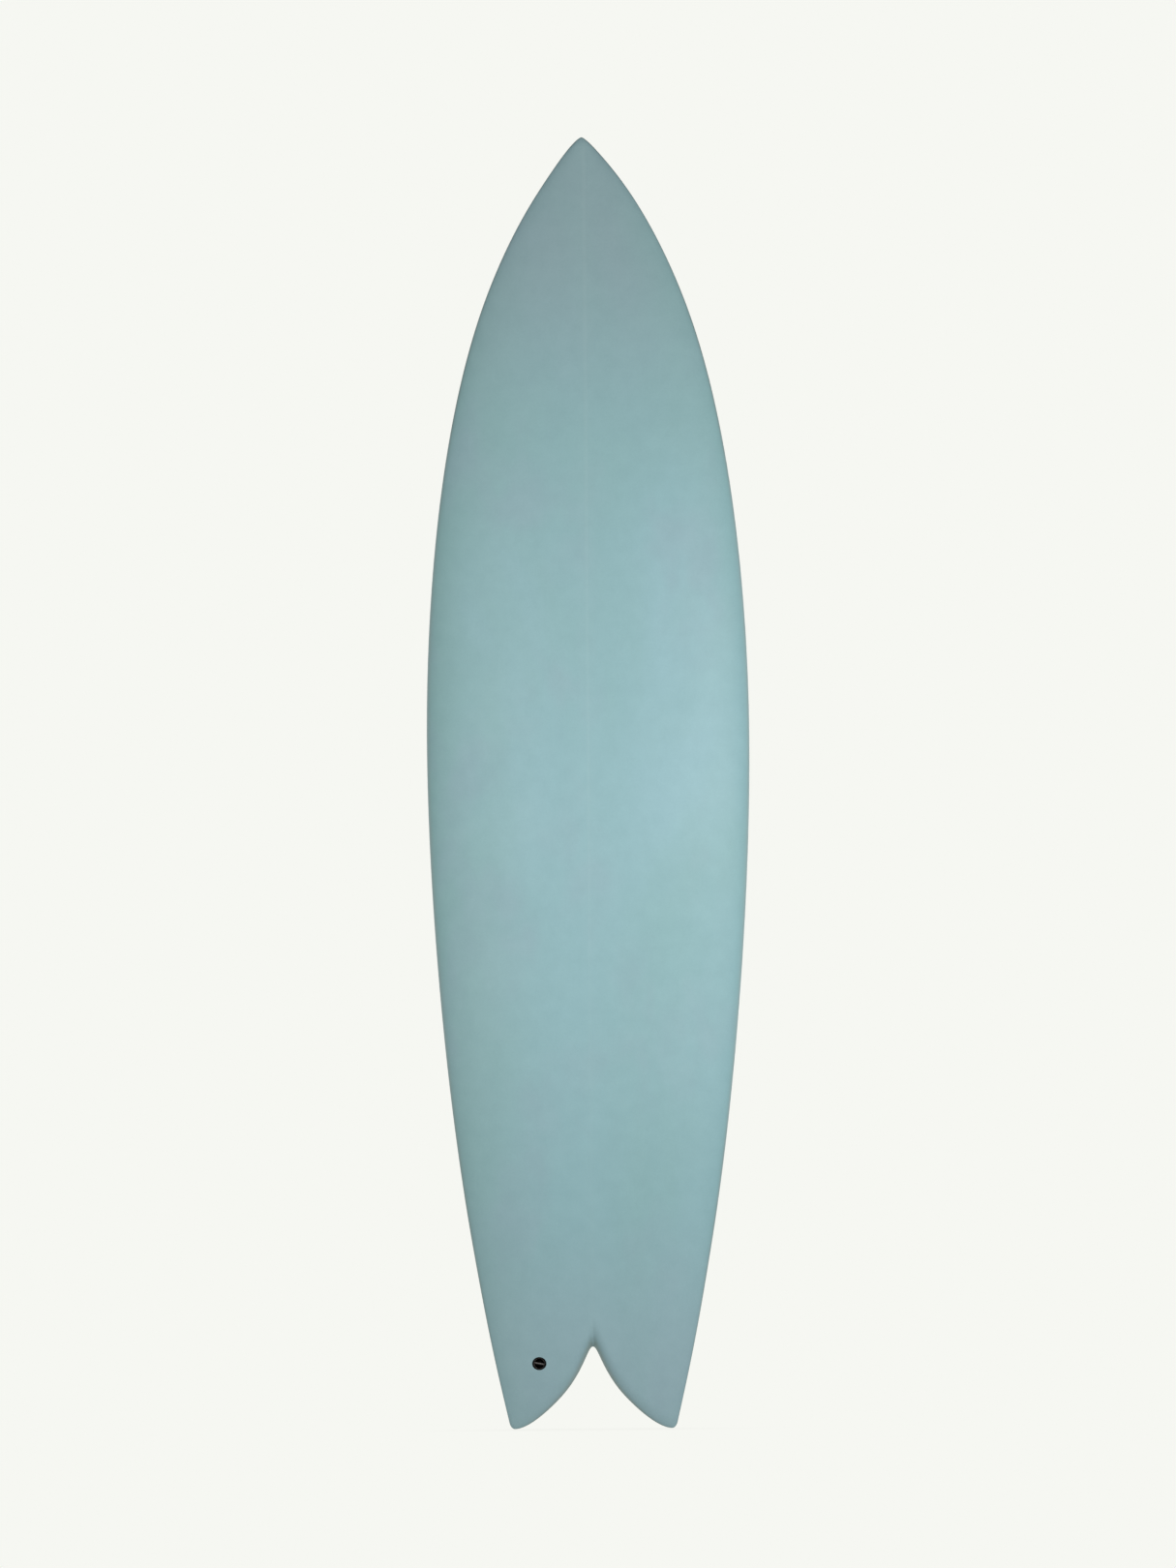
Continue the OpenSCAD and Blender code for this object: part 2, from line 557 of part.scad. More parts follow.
module keel_blade(side) color([0.72, 0.52, 0.32]) keel_frame(side) {
    bottom = base_height + 0.05;
    sections = [for (level = blade_levels)
        let (height = bottom + level * (keel_height - bottom))
        [for (p = section(height * 0.9995, side)) [p[0], p[1], height]]];
    n = len(sections[0]);
    top = (len(sections) - 1) * n;
    walls = [for (a = [0 : n : top - n]) for (j = [0 : n - 1]) let (k = (j + 1) % n)
        each cell(a + j, a + k, a + n + j, a + n + k, false)];
    caps = [[for (j = [n - 1 : -1 : 0]) j], [for (j = [0 : n - 1]) top + j]];
    polyhedron(flat(sections), wind(concat(walls, caps), side > 0), convexity = 4);
}
module keel_blade_left() keel_blade(-1);
module keel_blade_right() keel_blade(1);

socket_r = 1.44;                        // across the corners of the hexagon, halved
socket_depth = 2.5;
module grub_screw(side, end)
    color([0.6, 0.6, 0.6]) plug_frame(side, end) screw_frame(side)
    translate([0, 0, -screw_in]) difference() {
        union() {
            cylinder(r1 = tip_r, r2 = screw_r, h = tip_length);
            translate([0, 0, tip_length]) cylinder(r = screw_r, h = screw_length - tip_length);
        }
        translate([0, 0, screw_length - socket_depth])
            cylinder(r = socket_r, h = socket_depth + 0.5, $fn = 6);
    }
module grub_screw_left_front() grub_screw(-1, -1);
module grub_screw_left_rear() grub_screw(-1, 1);
module grub_screw_right_front() grub_screw(1, -1);
module grub_screw_right_rear() grub_screw(1, 1);

foam_blank_left();
foam_blank_right();
stringer();
deck_glass();
bottom_glass();
deck_patch();
leash_plug_cup();
leash_plug_bar();
fin_plug_left_front();
fin_plug_left_rear();
fin_plug_right_front();
fin_plug_right_rear();
keel_base_left();
keel_base_right();
keel_blade_left();
keel_blade_right();
grub_screw_left_front();
grub_screw_left_rear();
grub_screw_right_front();
grub_screw_right_rear();
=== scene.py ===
"""A swallow-tailed surfboard with two wooden keel fins, screw-held fin plugs and a leash plug.

The board stands on its tail: z runs from the tail tips (0) up to the nose, x across with the
stringer at 0, the deck faces -y and the bottom +y. "Left" is -x and "right" +x, as seen by
someone looking at the deck. Shapes are worked out in millimetres and stored in metres.
"""
import json
import math
from contextlib import contextmanager

import bmesh
import bpy
import numpy as np
from mathutils import Matrix, Vector


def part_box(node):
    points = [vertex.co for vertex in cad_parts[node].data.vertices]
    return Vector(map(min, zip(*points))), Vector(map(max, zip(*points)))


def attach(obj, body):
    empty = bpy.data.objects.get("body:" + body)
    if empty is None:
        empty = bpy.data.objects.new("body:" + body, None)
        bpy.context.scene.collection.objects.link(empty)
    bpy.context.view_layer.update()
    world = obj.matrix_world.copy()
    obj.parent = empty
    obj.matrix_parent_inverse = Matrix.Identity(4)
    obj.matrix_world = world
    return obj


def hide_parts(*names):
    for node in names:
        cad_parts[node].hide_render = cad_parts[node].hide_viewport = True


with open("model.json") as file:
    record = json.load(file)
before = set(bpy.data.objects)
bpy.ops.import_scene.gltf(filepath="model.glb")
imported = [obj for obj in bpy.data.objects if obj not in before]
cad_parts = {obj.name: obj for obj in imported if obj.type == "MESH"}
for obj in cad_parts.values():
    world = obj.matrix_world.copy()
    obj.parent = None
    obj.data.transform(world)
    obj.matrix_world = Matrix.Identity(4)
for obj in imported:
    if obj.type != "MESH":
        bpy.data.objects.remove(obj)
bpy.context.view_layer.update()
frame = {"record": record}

MM = 0.001
SIDES = {-1: "left", 1: "right"}
ENDS = {-1: "front", 1: "rear"}  # front is nearer the nose

# ======================================================================================
# board outline: cubic curves for the right half, as (x, z)
# ======================================================================================
WIDTH, LENGTH = 533.4, 2133.6
FIT = WIDTH / 533.6  # the curves are drawn 533.6 wide and fitted to WIDTH

STRINGER_HALF = 2.4
CENTRE_HALF = STRINGER_HALF + 0.05  # the foam halves start here
CENTRE_COLUMNS = np.array([0, 0.35, 0.7])  # grid columns over the stringer, as parts of CENTRE_HALF


def towards_tail(lean):
    """Direction towards the tail, leaning inwards by an angle in degrees."""
    return np.array([-math.sin(math.radians(lean)) * FIT, -math.cos(math.radians(lean))])


def curve_point(curve, t):
    t = np.asarray(t, float)[..., None]
    return ((1 - t) ** 3 * curve[0] + 3 * (1 - t) ** 2 * t * curve[1]
            + 3 * (1 - t) * t * t * curve[2] + t ** 3 * curve[3])


def curve_slope(curve, t):
    t = np.asarray(t, float)[..., None]
    return (3 * (1 - t) ** 2 * (curve[1] - curve[0]) + 6 * (1 - t) * t * (curve[2] - curve[1])
            + 3 * t * t * (curve[3] - curve[2]))


def curve_param(curve, axis, value):
    """Parameter where one component of the curve has the value; the component is monotone."""
    rising = curve[3][axis] > curve[0][axis]
    low, high = 0.0, 1.0
    for _ in range(40):
        middle = (low + high) / 2
        if (curve_point(curve, middle)[axis] < value) == rising:
            low = middle
        else:
            high = middle
    return (low + high) / 2


NOSE_STATION = np.array([177.6 * FIT, LENGTH - 304.8])
WIDE_STATION = np.array([WIDTH / 2, 1134.7])
TAIL_STATION = np.array([197.7 * FIT, 304.8])
CORNER = np.array([139.6 * FIT, 16.0])  # where the rail turns into the rounded tail tip
CORNER_X, CORNER_Z = CORNER
NOSE_DIR, TAIL_DIR, CORNER_DIR = towards_tail(-18.4), towards_tail(9.7), towards_tail(13.4)
WIDE_HANDLE = np.array([0, 238])

NOSE_ARC = np.array([[0, LENGTH], [13.9 * FIT, LENGTH],
                     NOSE_STATION - 200.7 * NOSE_DIR, NOSE_STATION])
FORE_ARC = np.array([NOSE_STATION, NOSE_STATION + 201.4 * NOSE_DIR,
                     WIDE_STATION + WIDE_HANDLE, WIDE_STATION])
AFT_ARC = np.array([WIDE_STATION, WIDE_STATION - WIDE_HANDLE,
                    TAIL_STATION - 264.5 * TAIL_DIR, TAIL_STATION])
TAIL_ARC = np.array([TAIL_STATION, TAIL_STATION + 127.6 * TAIL_DIR,
                     CORNER - 107.5 * CORNER_DIR, CORNER])


def rail_at(curve, t):
    """A rail point and its outward normal: x, z, normal x, normal z."""
    point, slope = curve_point(curve, t), curve_slope(curve, t)
    size = np.hypot(slope[0], slope[1])
    return point[0], point[1], -slope[1] / size, slope[0] / size


def rail(z):
    if z >= NOSE_STATION[1]:
        curve = NOSE_ARC
    elif z >= WIDE_STATION[1]:
        curve = FORE_ARC
    elif z >= TAIL_STATION[1]:
        curve = AFT_ARC
    else:
        curve = TAIL_ARC
    return rail_at(curve, curve_param(curve, 1, z))


# swallow notch, from its top on the centreline out to the tail tip
TIP_X = 130 * FIT
TIP_R = CORNER_X - TIP_X
NOTCH = 135.2
NOTCH_MID = np.array([44.1 * FIT, 0.465 * NOTCH])
NOTCH_DIR = np.array([math.cos(math.radians(51.3)) * FIT, -math.sin(math.radians(51.3))])
NOTCH_UPPER = np.array([[0, NOTCH], [8.5 * FIT, NOTCH], NOTCH_MID - 49.4 * NOTCH_DIR, NOTCH_MID])
NOTCH_LOWER = np.array([NOTCH_MID, NOTCH_MID + 17.8 * NOTCH_DIR, [101.7 * FIT, 0], [TIP_X, 0]])
NOTCH_FLAT = 12 * FIT  # within this x the rolled edge keeps one slope


def notch_edge(x):
    """Height of the swallow edge at x, and the cosine of its slope."""
    x = min(max(x, 0.0), TIP_X)
    curve = NOTCH_UPPER if x < NOTCH_MID[0] else NOTCH_LOWER
    t = curve_param(curve, 0, x)
    slope = curve_slope(curve, t)
    return curve_point(curve, t)[1], slope[0] / np.hypot(slope[0], slope[1])


def tail_edge(x, inset):
    """Height of the tail's end at x, inset from the swallow edge and the rounded tip."""
    if x <= TIP_X + 0.001:
        z, cosine = notch_edge(x)
        return z + inset / cosine
    f = min(1.0, (x - TIP_X) / (TIP_R - inset))
    return CORNER_Z - (CORNER_Z - inset) * math.sqrt(1 - f * f)


def edge_cosine(x):
    """Turns a height above the tail's end into a distance from it."""
    if x <= NOTCH_FLAT:
        return notch_edge(NOTCH_FLAT)[1]
    if x <= TIP_X:
        return notch_edge(x)[1]
    return max(0.5, 1 - 0.5 * (x - TIP_X) / TIP_R)


# ======================================================================================
# board section
# ======================================================================================
LOW_Z, THICK_Z, RAIL_Z = 1000.0, 1150.0, 1100.0  # lowest rocker, thickest foam, lowest rails
NOSE_LIFT, TAIL_LIFT = 118.0, 50.0
NOSE_THICK, TAIL_THICK, THICKNESS = 9.0, 15.0, 69.85
# the bottom glass reaches its greatest y where the rocker is lowest, at LOW_Z
BOTTOM_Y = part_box("bottom_glass")[1][1] / MM


def rocker(z):
    """Lift of the bottom centreline towards the deck side."""
    z = np.asarray(z, float)
    fore = NOSE_LIFT * np.power(np.clip((z - LOW_Z) / (LENGTH - LOW_Z), 0, None), 2.6)
    aft = TAIL_LIFT * np.power(np.clip((LOW_Z - z) / LOW_Z, 0, None), 2.3)
    return np.where(z > LOW_Z, fore, aft)


def thickness(z):
    z = np.asarray(z, float)
    to_nose = np.clip((z - THICK_Z) / (LENGTH - THICK_Z), 0, 1)
    to_tail = np.clip((THICK_Z - z) / THICK_Z, 0, 1)
    fore = NOSE_THICK + (THICKNESS - NOSE_THICK) * (1 - np.power(to_nose, 2))
    aft = TAIL_THICK + (THICKNESS - TAIL_THICK) * (1 - np.power(to_tail, 2.1))
    return np.where(z > THICK_Z, fore, aft)


def apex(z):
    """Height of the rail's widest line above the bottom, as a part of the thickness."""
    z = np.asarray(z, float)
    fore = 0.36 + 0.14 * np.clip((z - RAIL_Z) / (LENGTH - RAIL_Z), 0, None) ** 2
    aft = 0.36 - 0.16 * np.clip((RAIL_Z - z) / RAIL_Z, 0, None) ** 1.5
    return np.where(z > RAIL_Z, fore, aft)


def tuck(z):
    """Exponent of the bottom's section: the higher, the harder the lower rail edge."""
    z = np.asarray(z, float)
    return np.where(z > RAIL_Z, 12.0, 12 + 16 * np.clip((RAIL_Z - z) / 700.0, 0, 1))


def crown(u):
    """Deck section from the centre (u = 0) to the rail (u = 1)."""
    return np.power(np.clip(1 - np.power(u, 2.5), 0, None), 0.556)


def bottom_section(u, z):
    return np.sqrt(np.clip(1 - np.power(u, tuck(z)), 0, None))


def roll(f, exponent):
    """Rounding of an edge: 0 at the edge, 1 from f = 1 on."""
    f = np.clip(f, 0, 1)
    return np.power(1 - np.power(1 - f, 2.2), exponent)


PATCH_Z = 600.0  # below this the rows bend towards the swallow edge
CREASE = 9.0  # half-width of the soft valley above the notch
VALLEY_R = 2.6  # rounding at the valley's centre
NOSE_EASE = 12.0  # length over which the nose rows straighten and the centre columns spread
NOSE_ROLL, NOSE_ROLL_EXP = 16.0, 0.55
DECK_ROLL, BOTTOM_ROLL, TAIL_ROLL_EXP = 20, 7, 0.556


def valley_run_on(x):
    """How far a lobe's straightened edge would run on past the notch edge at x."""
    if x >= CREASE:
        return 0.0
    z, cosine = notch_edge(CREASE)
    soft_x = math.hypot(x, VALLEY_R) - VALLEY_R * max(0.0, 1 - x / CREASE)
    steepness = math.sqrt(1 - cosine * cosine) / cosine
    return max(0.0, z + steepness * (CREASE - soft_x) - notch_edge(x)[0])


def plan(rows, rail_columns, inset):
    """Plan grid of the right half: x, z, section parameter u, and deck and bottom edge fades."""
    def columns(rail_x, centre=CENTRE_HALF):
        return np.concatenate([CENTRE_COLUMNS * centre, centre + rail_columns * (rail_x - centre)])

    edge_x = columns(CORNER_X)
    edge_in = np.array([tail_edge(x, inset) for x in columns(CORNER_X - inset)])
    edge_out = np.array([tail_edge(x, 0) for x in edge_x])
    cosines = np.array([edge_cosine(x) for x in edge_x])
    run_on = np.array([valley_run_on(x) for x in edge_x])
    xs, zs, deck_fades, bottom_fades = [], [], [], []
    for kind, t in rows:
        if kind == "nose":
            px, pz, nx, nz = rail_at(NOSE_ARC, t)
            rail_x, rail_z = px - inset * nx, pz - inset * nz
            drop = LENGTH - pz
            x = columns(rail_x, CENTRE_HALF * (1 - math.exp(-max(rail_x, 1e-6) / NOSE_EASE)))
            bulge = 0.6 * drop * math.exp(-drop / NOSE_EASE)
            across = x / max(rail_x, 1e-9)
            z = rail_z + bulge * (1 - across * across)
            f = (drop - bulge) / NOSE_ROLL
            deck_fade = roll(f, NOSE_ROLL_EXP) + 0 * x
            bottom_fade = roll(f * 1.6, NOSE_ROLL_EXP) + 0 * x
        elif kind == "mid":
            px, _, nx, _ = rail(t)
            x = columns(px - inset / nx)
            z = t + 0 * x
            deck_fade = bottom_fade = 1 + 0 * x
        else:
            px, _, nx, _ = rail(PATCH_Z + t * (CORNER_Z - PATCH_Z))
            x = columns(px - inset / nx)
            z = PATCH_Z + t * (edge_in - PATCH_Z)
            f = (1 - t) * (PATCH_Z - edge_out) * cosines
            # each lobe's rolled edge runs on past the notch and eases out,
            # so the two meet in a soft valley
            r = np.maximum(0.6 * run_on * cosines, 1e-6)
            deck_fade = roll((f - r * (1 - np.exp(-f / r))) / DECK_ROLL, TAIL_ROLL_EXP)
            bottom_fade = roll(f / BOTTOM_ROLL, TAIL_ROLL_EXP)
        xs.append(x)
        zs.append(z)
        deck_fades.append(deck_fade)
        bottom_fades.append(bottom_fade)
    u = np.tile(np.concatenate([CENTRE_COLUMNS * 0, rail_columns]), (len(rows), 1))
    return np.array(xs), np.array(zs), u, np.array(deck_fades), np.array(bottom_fades)


def surfaces(rows, rail_columns, inset, deck_inset, bottom_inset, patch_inset=0.0):
    """Grids of x, z, deck y and bottom y; patch_inset lowers the deck further over the tail."""
    x, z, u, deck_fade, bottom_fade = plan(rows, rail_columns, inset)
    thick, y = thickness(z), BOTTOM_Y - rocker(z)
    rise = apex(z) * thick
    deck_inset = deck_inset + patch_inset * (z < PATCH_Z + 0.01)
    deck = y - rise - (thick - rise - deck_inset) * crown(u) * deck_fade
    bottom = y - rise + (rise - bottom_inset) * bottom_section(u, z) * bottom_fade
    return x, z, deck, bottom


def columns_for(count):
    """Column places from centre to rail, closer together at both ends."""
    near = (0.008, 0.016, 0.024, 0.034, 0.046, 0.062, 0.08)
    u = 1 - (1 - np.linspace(0, 1, count + 1)) ** 2.3
    return np.concatenate([[0.0], near, u[(u > near[-1] * 1.15)]])


def rows_for(nose_count, mid_count, tail_count):
    """Rows (kind, place) from just off the nose pole to the swallow edge."""
    nose = np.linspace(0, 1, nose_count + 1)[1:] ** 1.45
    mid = np.linspace(NOSE_STATION[1], PATCH_Z, mid_count + 1)[1:]
    tail = 1 - (1 - np.linspace(0, 1, tail_count + 1)[1:]) ** 2.1
    return [(kind, float(t)) for kind, places in (("nose", nose), ("mid", mid), ("tail", tail))
            for t in places]


# ======================================================================================
# mesh tools
# ======================================================================================
def mirrored(count):
    """(sign, column) from the left rail over the centre to the right rail."""
    return [(-1, j) for j in range(count - 1, 0, -1)] + [(1, j) for j in range(count)]


def quad(grid, i, j, is_deck=True):
    """One grid cell; the bottom's runs the other way round."""
    a, b, c, d = grid[i, j], grid[i, j + 1], grid[i + 1, j + 1], grid[i + 1, j]
    return (a, b, c, d) if is_deck else (a, d, c, b)


def without_repeats(face):
    return tuple(dict.fromkeys(face))


def mesh_obj(name, verts, faces, scale=MM, smooth=True):
    mesh = bpy.data.meshes.new(name)
    mesh.from_pydata([tuple(c * scale for c in v) for v in verts], [],
                     [tuple(int(i) for i in f) for f in faces])
    mesh.validate()
    mesh.update()
    obj = bpy.data.objects.new(name, mesh)
    bpy.context.scene.collection.objects.link(obj)
    if smooth:
        mesh.polygons.foreach_set("use_smooth", [True] * len(mesh.polygons))
    return obj


@contextmanager
def editing(obj):
    bm = bmesh.new()
    bm.from_mesh(obj.data)
    yield bm
    bm.to_mesh(obj.data)
    bm.free()


def fix_normals(obj):
    with editing(obj) as bm:
        bmesh.ops.recalc_face_normals(bm, faces=bm.faces)


def sharpen(obj, angle):
    """Smooth faces, with edges sharper than the angle kept crisp."""
    limit = math.radians(angle)
    with editing(obj) as bm:
        for face in bm.faces:
            face.smooth = True
        for edge in bm.edges:
            edge.smooth = not (len(edge.link_faces) == 2 and edge.calc_face_angle(0) > limit)


def tidy(obj, dist=2e-6):
    """Close up the slivers a cut leaves: points nearer than dist (in metres) become one."""
    with editing(obj) as bm:
        bmesh.ops.remove_doubles(bm, verts=bm.verts, dist=dist)
        bmesh.ops.dissolve_degenerate(bm, edges=bm.edges, dist=dist / 2)


def apply_modifiers(obj):
    depsgraph = bpy.context.evaluated_depsgraph_get()
    mesh = bpy.data.meshes.new_from_object(obj.evaluated_get(depsgraph),
                                           preserve_all_data_layers=True, depsgraph=depsgraph)
    obj.modifiers.clear()
    old = obj.data
    obj.data = mesh
    bpy.data.meshes.remove(old)


def cut(obj, tools, operation="DIFFERENCE"):
    for tool in tools:
        mod = obj.modifiers.new("cut", "BOOLEAN")
        mod.operation, mod.object, mod.solver = operation, tool, "EXACT"
    apply_modifiers(obj)
    for tool in tools:
        bpy.data.objects.remove(tool)
    tidy(obj)


def bevel(obj, width, segments=3, angle=30):
    """Bevel the edges sharper than the angle; width in metres."""
    mod = obj.modifiers.new("bevel", "BEVEL")
    mod.width, mod.segments = width, segments
    mod.limit_method, mod.angle_limit = "ANGLE", math.radians(angle)
    apply_modifiers(obj)


def lathe(name, profile, segments=96, scale=MM):
    """Solid of revolution about z from (r, z) points; points with r = 0 become poles."""
    verts, rings = [], []
    for r, z in profile:
        start = len(verts)
        if r <= 1e-9:
            verts.append((0, 0, z))
        else:
            angles = [2 * math.pi * i / segments for i in range(segments)]
            verts += [(r * math.cos(a), r * math.sin(a), z) for a in angles]
        rings.append(list(range(start, len(verts))))
    faces = []
    for a, b in zip(rings, rings[1:]):
        for i in range(segments):
            j = (i + 1) % segments
            if len(a) == 1 and len(b) > 1:
                faces.append((a[0], b[j], b[i]))
            elif len(b) == 1 and len(a) > 1:
                faces.append((a[i], a[j], b[0]))
            elif len(a) > 1:
                faces.append((a[i], a[j], b[j], b[i]))
    obj = mesh_obj(name, verts, faces, scale)
    fix_normals(obj)
    return obj


def placed(obj, matrix):
    obj.data.transform(matrix)
    obj.data.update()
    return obj


def rod(matrix, radius, bottom, top, segments=96, scale=MM):
    """A cylinder to cut with, placed by the matrix."""
    profile = [(0, bottom), (radius, bottom), (radius, top), (0, top)]
    return placed(lathe("cutter", profile, segments, scale), matrix)


def block(low, high):
    """A box to cut or join with."""
    (a, b, c), (d, e, f) = low, high
    verts = [(a, b, c), (d, b, c), (d, e, c), (a, e, c),
             (a, b, f), (d, b, f), (d, e, f), (a, e, f)]
    faces = [(0, 3, 2, 1), (4, 5, 6, 7), (0, 1, 5, 4), (1, 2, 6, 5), (2, 3, 7, 6), (3, 0, 4, 7)]
    return mesh_obj("block", verts, faces, smooth=False)


def loft(name, rings):
    """Solid through rings of equal length, capped with strips across the section."""
    count = len(rings[0])
    verts = [p for ring in rings for p in ring]
    faces = []
    for i in range(len(rings) - 1):
        for j in range(count):
            k = (j + 1) % count
            near, far = i * count, (i + 1) * count
            faces.append((near + j, near + k, far + k, far + j))
    for base in (0, (len(rings) - 1) * count):
        for j in range(count // 2):
            a, b = base + j, base + j + 1
            c, d = base + (count - j) % count, base + count - j - 1
            faces.append(without_repeats((a, b, d, c)))
    obj = mesh_obj(name, verts, faces)
    fix_normals(obj)
    return obj


def grooves(radius, depth, starts, slant, width):
    """Profile points of keying grooves round a body, each starting at a z of starts."""
    points = []
    for z in starts:
        points += [(radius, z), (radius - depth, z + slant),
                   (radius - depth, z + width - slant), (radius, z + width)]
    return points


def arc(cx, cz, radius, start, end, steps):
    """Profile points on an arc; angles in degrees."""
    angles = [math.radians(start + (end - start) * i / steps) for i in range(steps + 1)]
    return [(cx + radius * math.cos(a), cz + radius * math.sin(a)) for a in angles]


def settle(obj, matrix):
    """Move a mesh from its own frame to its place, keeping the old coordinates as "local"."""
    mesh = obj.data
    local = mesh.attributes.new("local", "FLOAT_VECTOR", "POINT")
    co = np.empty(len(mesh.vertices) * 3, np.float32)
    mesh.vertices.foreach_get("co", co)
    local.data.foreach_set("vector", co)
    placed(obj, matrix)


def paint(obj, material):
    obj.data.materials.clear()
    obj.data.materials.append(material)


def hand_over(obj, material, rides, slot, *replaced):
    """Paint a finished piece, hang it on its body and hide the CAD parts it replaces."""
    paint(obj, material)
    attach(obj, rides)
    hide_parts(*replaced)


# ======================================================================================
# keel, plug, screw and leash frames
# ======================================================================================
CANT, TOE, SCREW_TILT = 6.0, 1.5, 30.0  # degrees
KEEL_X, KEEL_Z = 140.0, 240.0
KEEL_BASE, KEEL_H, KEEL_T, BASE_H = 210.0, 122.0, 9.0, 8.0
TAB_PITCH = 108.0
TAB_L, TAB_W, TAB_D = 16.8, 5.0, 12.6
PLUG_R, PLUG_D = 14.3, 16.0
SCREW_L, SCREW_X = 8.0, 9.2  # SCREW_X: from plug centre to screw axis at the plug's face
POINT_R, POINT_SLOPE, POINT_H = 1.6, 0.75, 1.2  # cone at the screw's tip
TAB_GAP = 0.05  # between screw and tab


def turn(axis, degrees):
    return Matrix.Rotation(math.radians(degrees), 4, axis)


def shift(x, y, z):
    return Matrix.Translation((x * MM, y * MM, z * MM))


def rocker_slope(z):
    return float(rocker(z - 1) - rocker(z + 1)) / 2


def bottom_y(z):
    return BOTTOM_Y - float(rocker(z))


KEEL_PITCH = math.degrees(math.atan(rocker_slope(KEEL_Z)))


def keel_frame(side):
    """x across the keel, y towards the tail, z out of the board's bottom."""
    return (shift(side * KEEL_X, bottom_y(KEEL_Z), KEEL_Z) @ turn("X", -90 - KEEL_PITCH)
            @ turn("Y", side * CANT) @ turn("Z", -side * TOE))


def sag(along):
    """Height of the bottom surface in the keel's frame, at a distance towards the tail."""
    pitch = math.radians(KEEL_PITCH)
    z = KEEL_Z - along * math.cos(pitch)
    gap = -float(rocker(z)) + float(rocker(KEEL_Z)) + (KEEL_Z - z) * math.tan(pitch)
    return gap * math.cos(pitch)


def plug_frame(side, end):
    return keel_frame(side) @ shift(0, end * TAB_PITCH / 2, sag(end * TAB_PITCH / 2))


def face_frame(side, end):
    """At the plug, its z along the board's own normal."""
    z = KEEL_Z - end * TAB_PITCH / 2 * math.cos(math.radians(KEEL_PITCH))
    pitch = math.degrees(math.atan(rocker_slope(z))) - KEEL_PITCH
    return (plug_frame(side, end) @ turn("Z", side * TOE) @ turn("Y", -side * CANT)
            @ turn("X", -pitch))


def screw_frame(side, end):
    """On the plug's inner side, z up the screw's axis; its lower end leans to the tab."""
    drop = -SCREW_X * math.tan(math.radians(CANT))
    return (plug_frame(side, end) @ shift(-side * SCREW_X, 0, drop)
            @ turn("Y", -side * SCREW_TILT))


# how far down its axis the screw's tip lies when the cone comes up to the tab
SCREW_IN = min((SCREW_X - TAB_W / 2 - TAB_GAP - math.cos(math.radians(SCREW_TILT)) * r)
               / math.sin(math.radians(SCREW_TILT)) + h
               for r, h in ((POINT_R, 0), (POINT_R + POINT_SLOPE * POINT_H, POINT_H)))

# the leash plug's z points out of the deck; its rim stands 1.8 mm above the recorded mount
RIM_ABOVE_MOUTH = 1.8
mouth = next(m for m in frame["record"]["mounts"] if m["name"] == "leash_mouth")
leash_axis = Vector(mouth["axis"]).normalized()
leash_frame = (Matrix.Translation(Vector(mouth["pos_m"]) + leash_axis * RIM_ABOVE_MOUTH * MM)
               @ turn("Z", math.degrees(math.atan2(leash_axis.x, -leash_axis.y)))
               @ turn("X", 90 - math.degrees(math.asin(leash_axis.z))))
CUP_R, CUP_D = 12.0, 16
BAR_R, BAR_HALF = 2.0, 10.6
BAR_PLACE = turn("Z", -10) @ shift(0, 0, -5.6) @ turn("Y", 90)


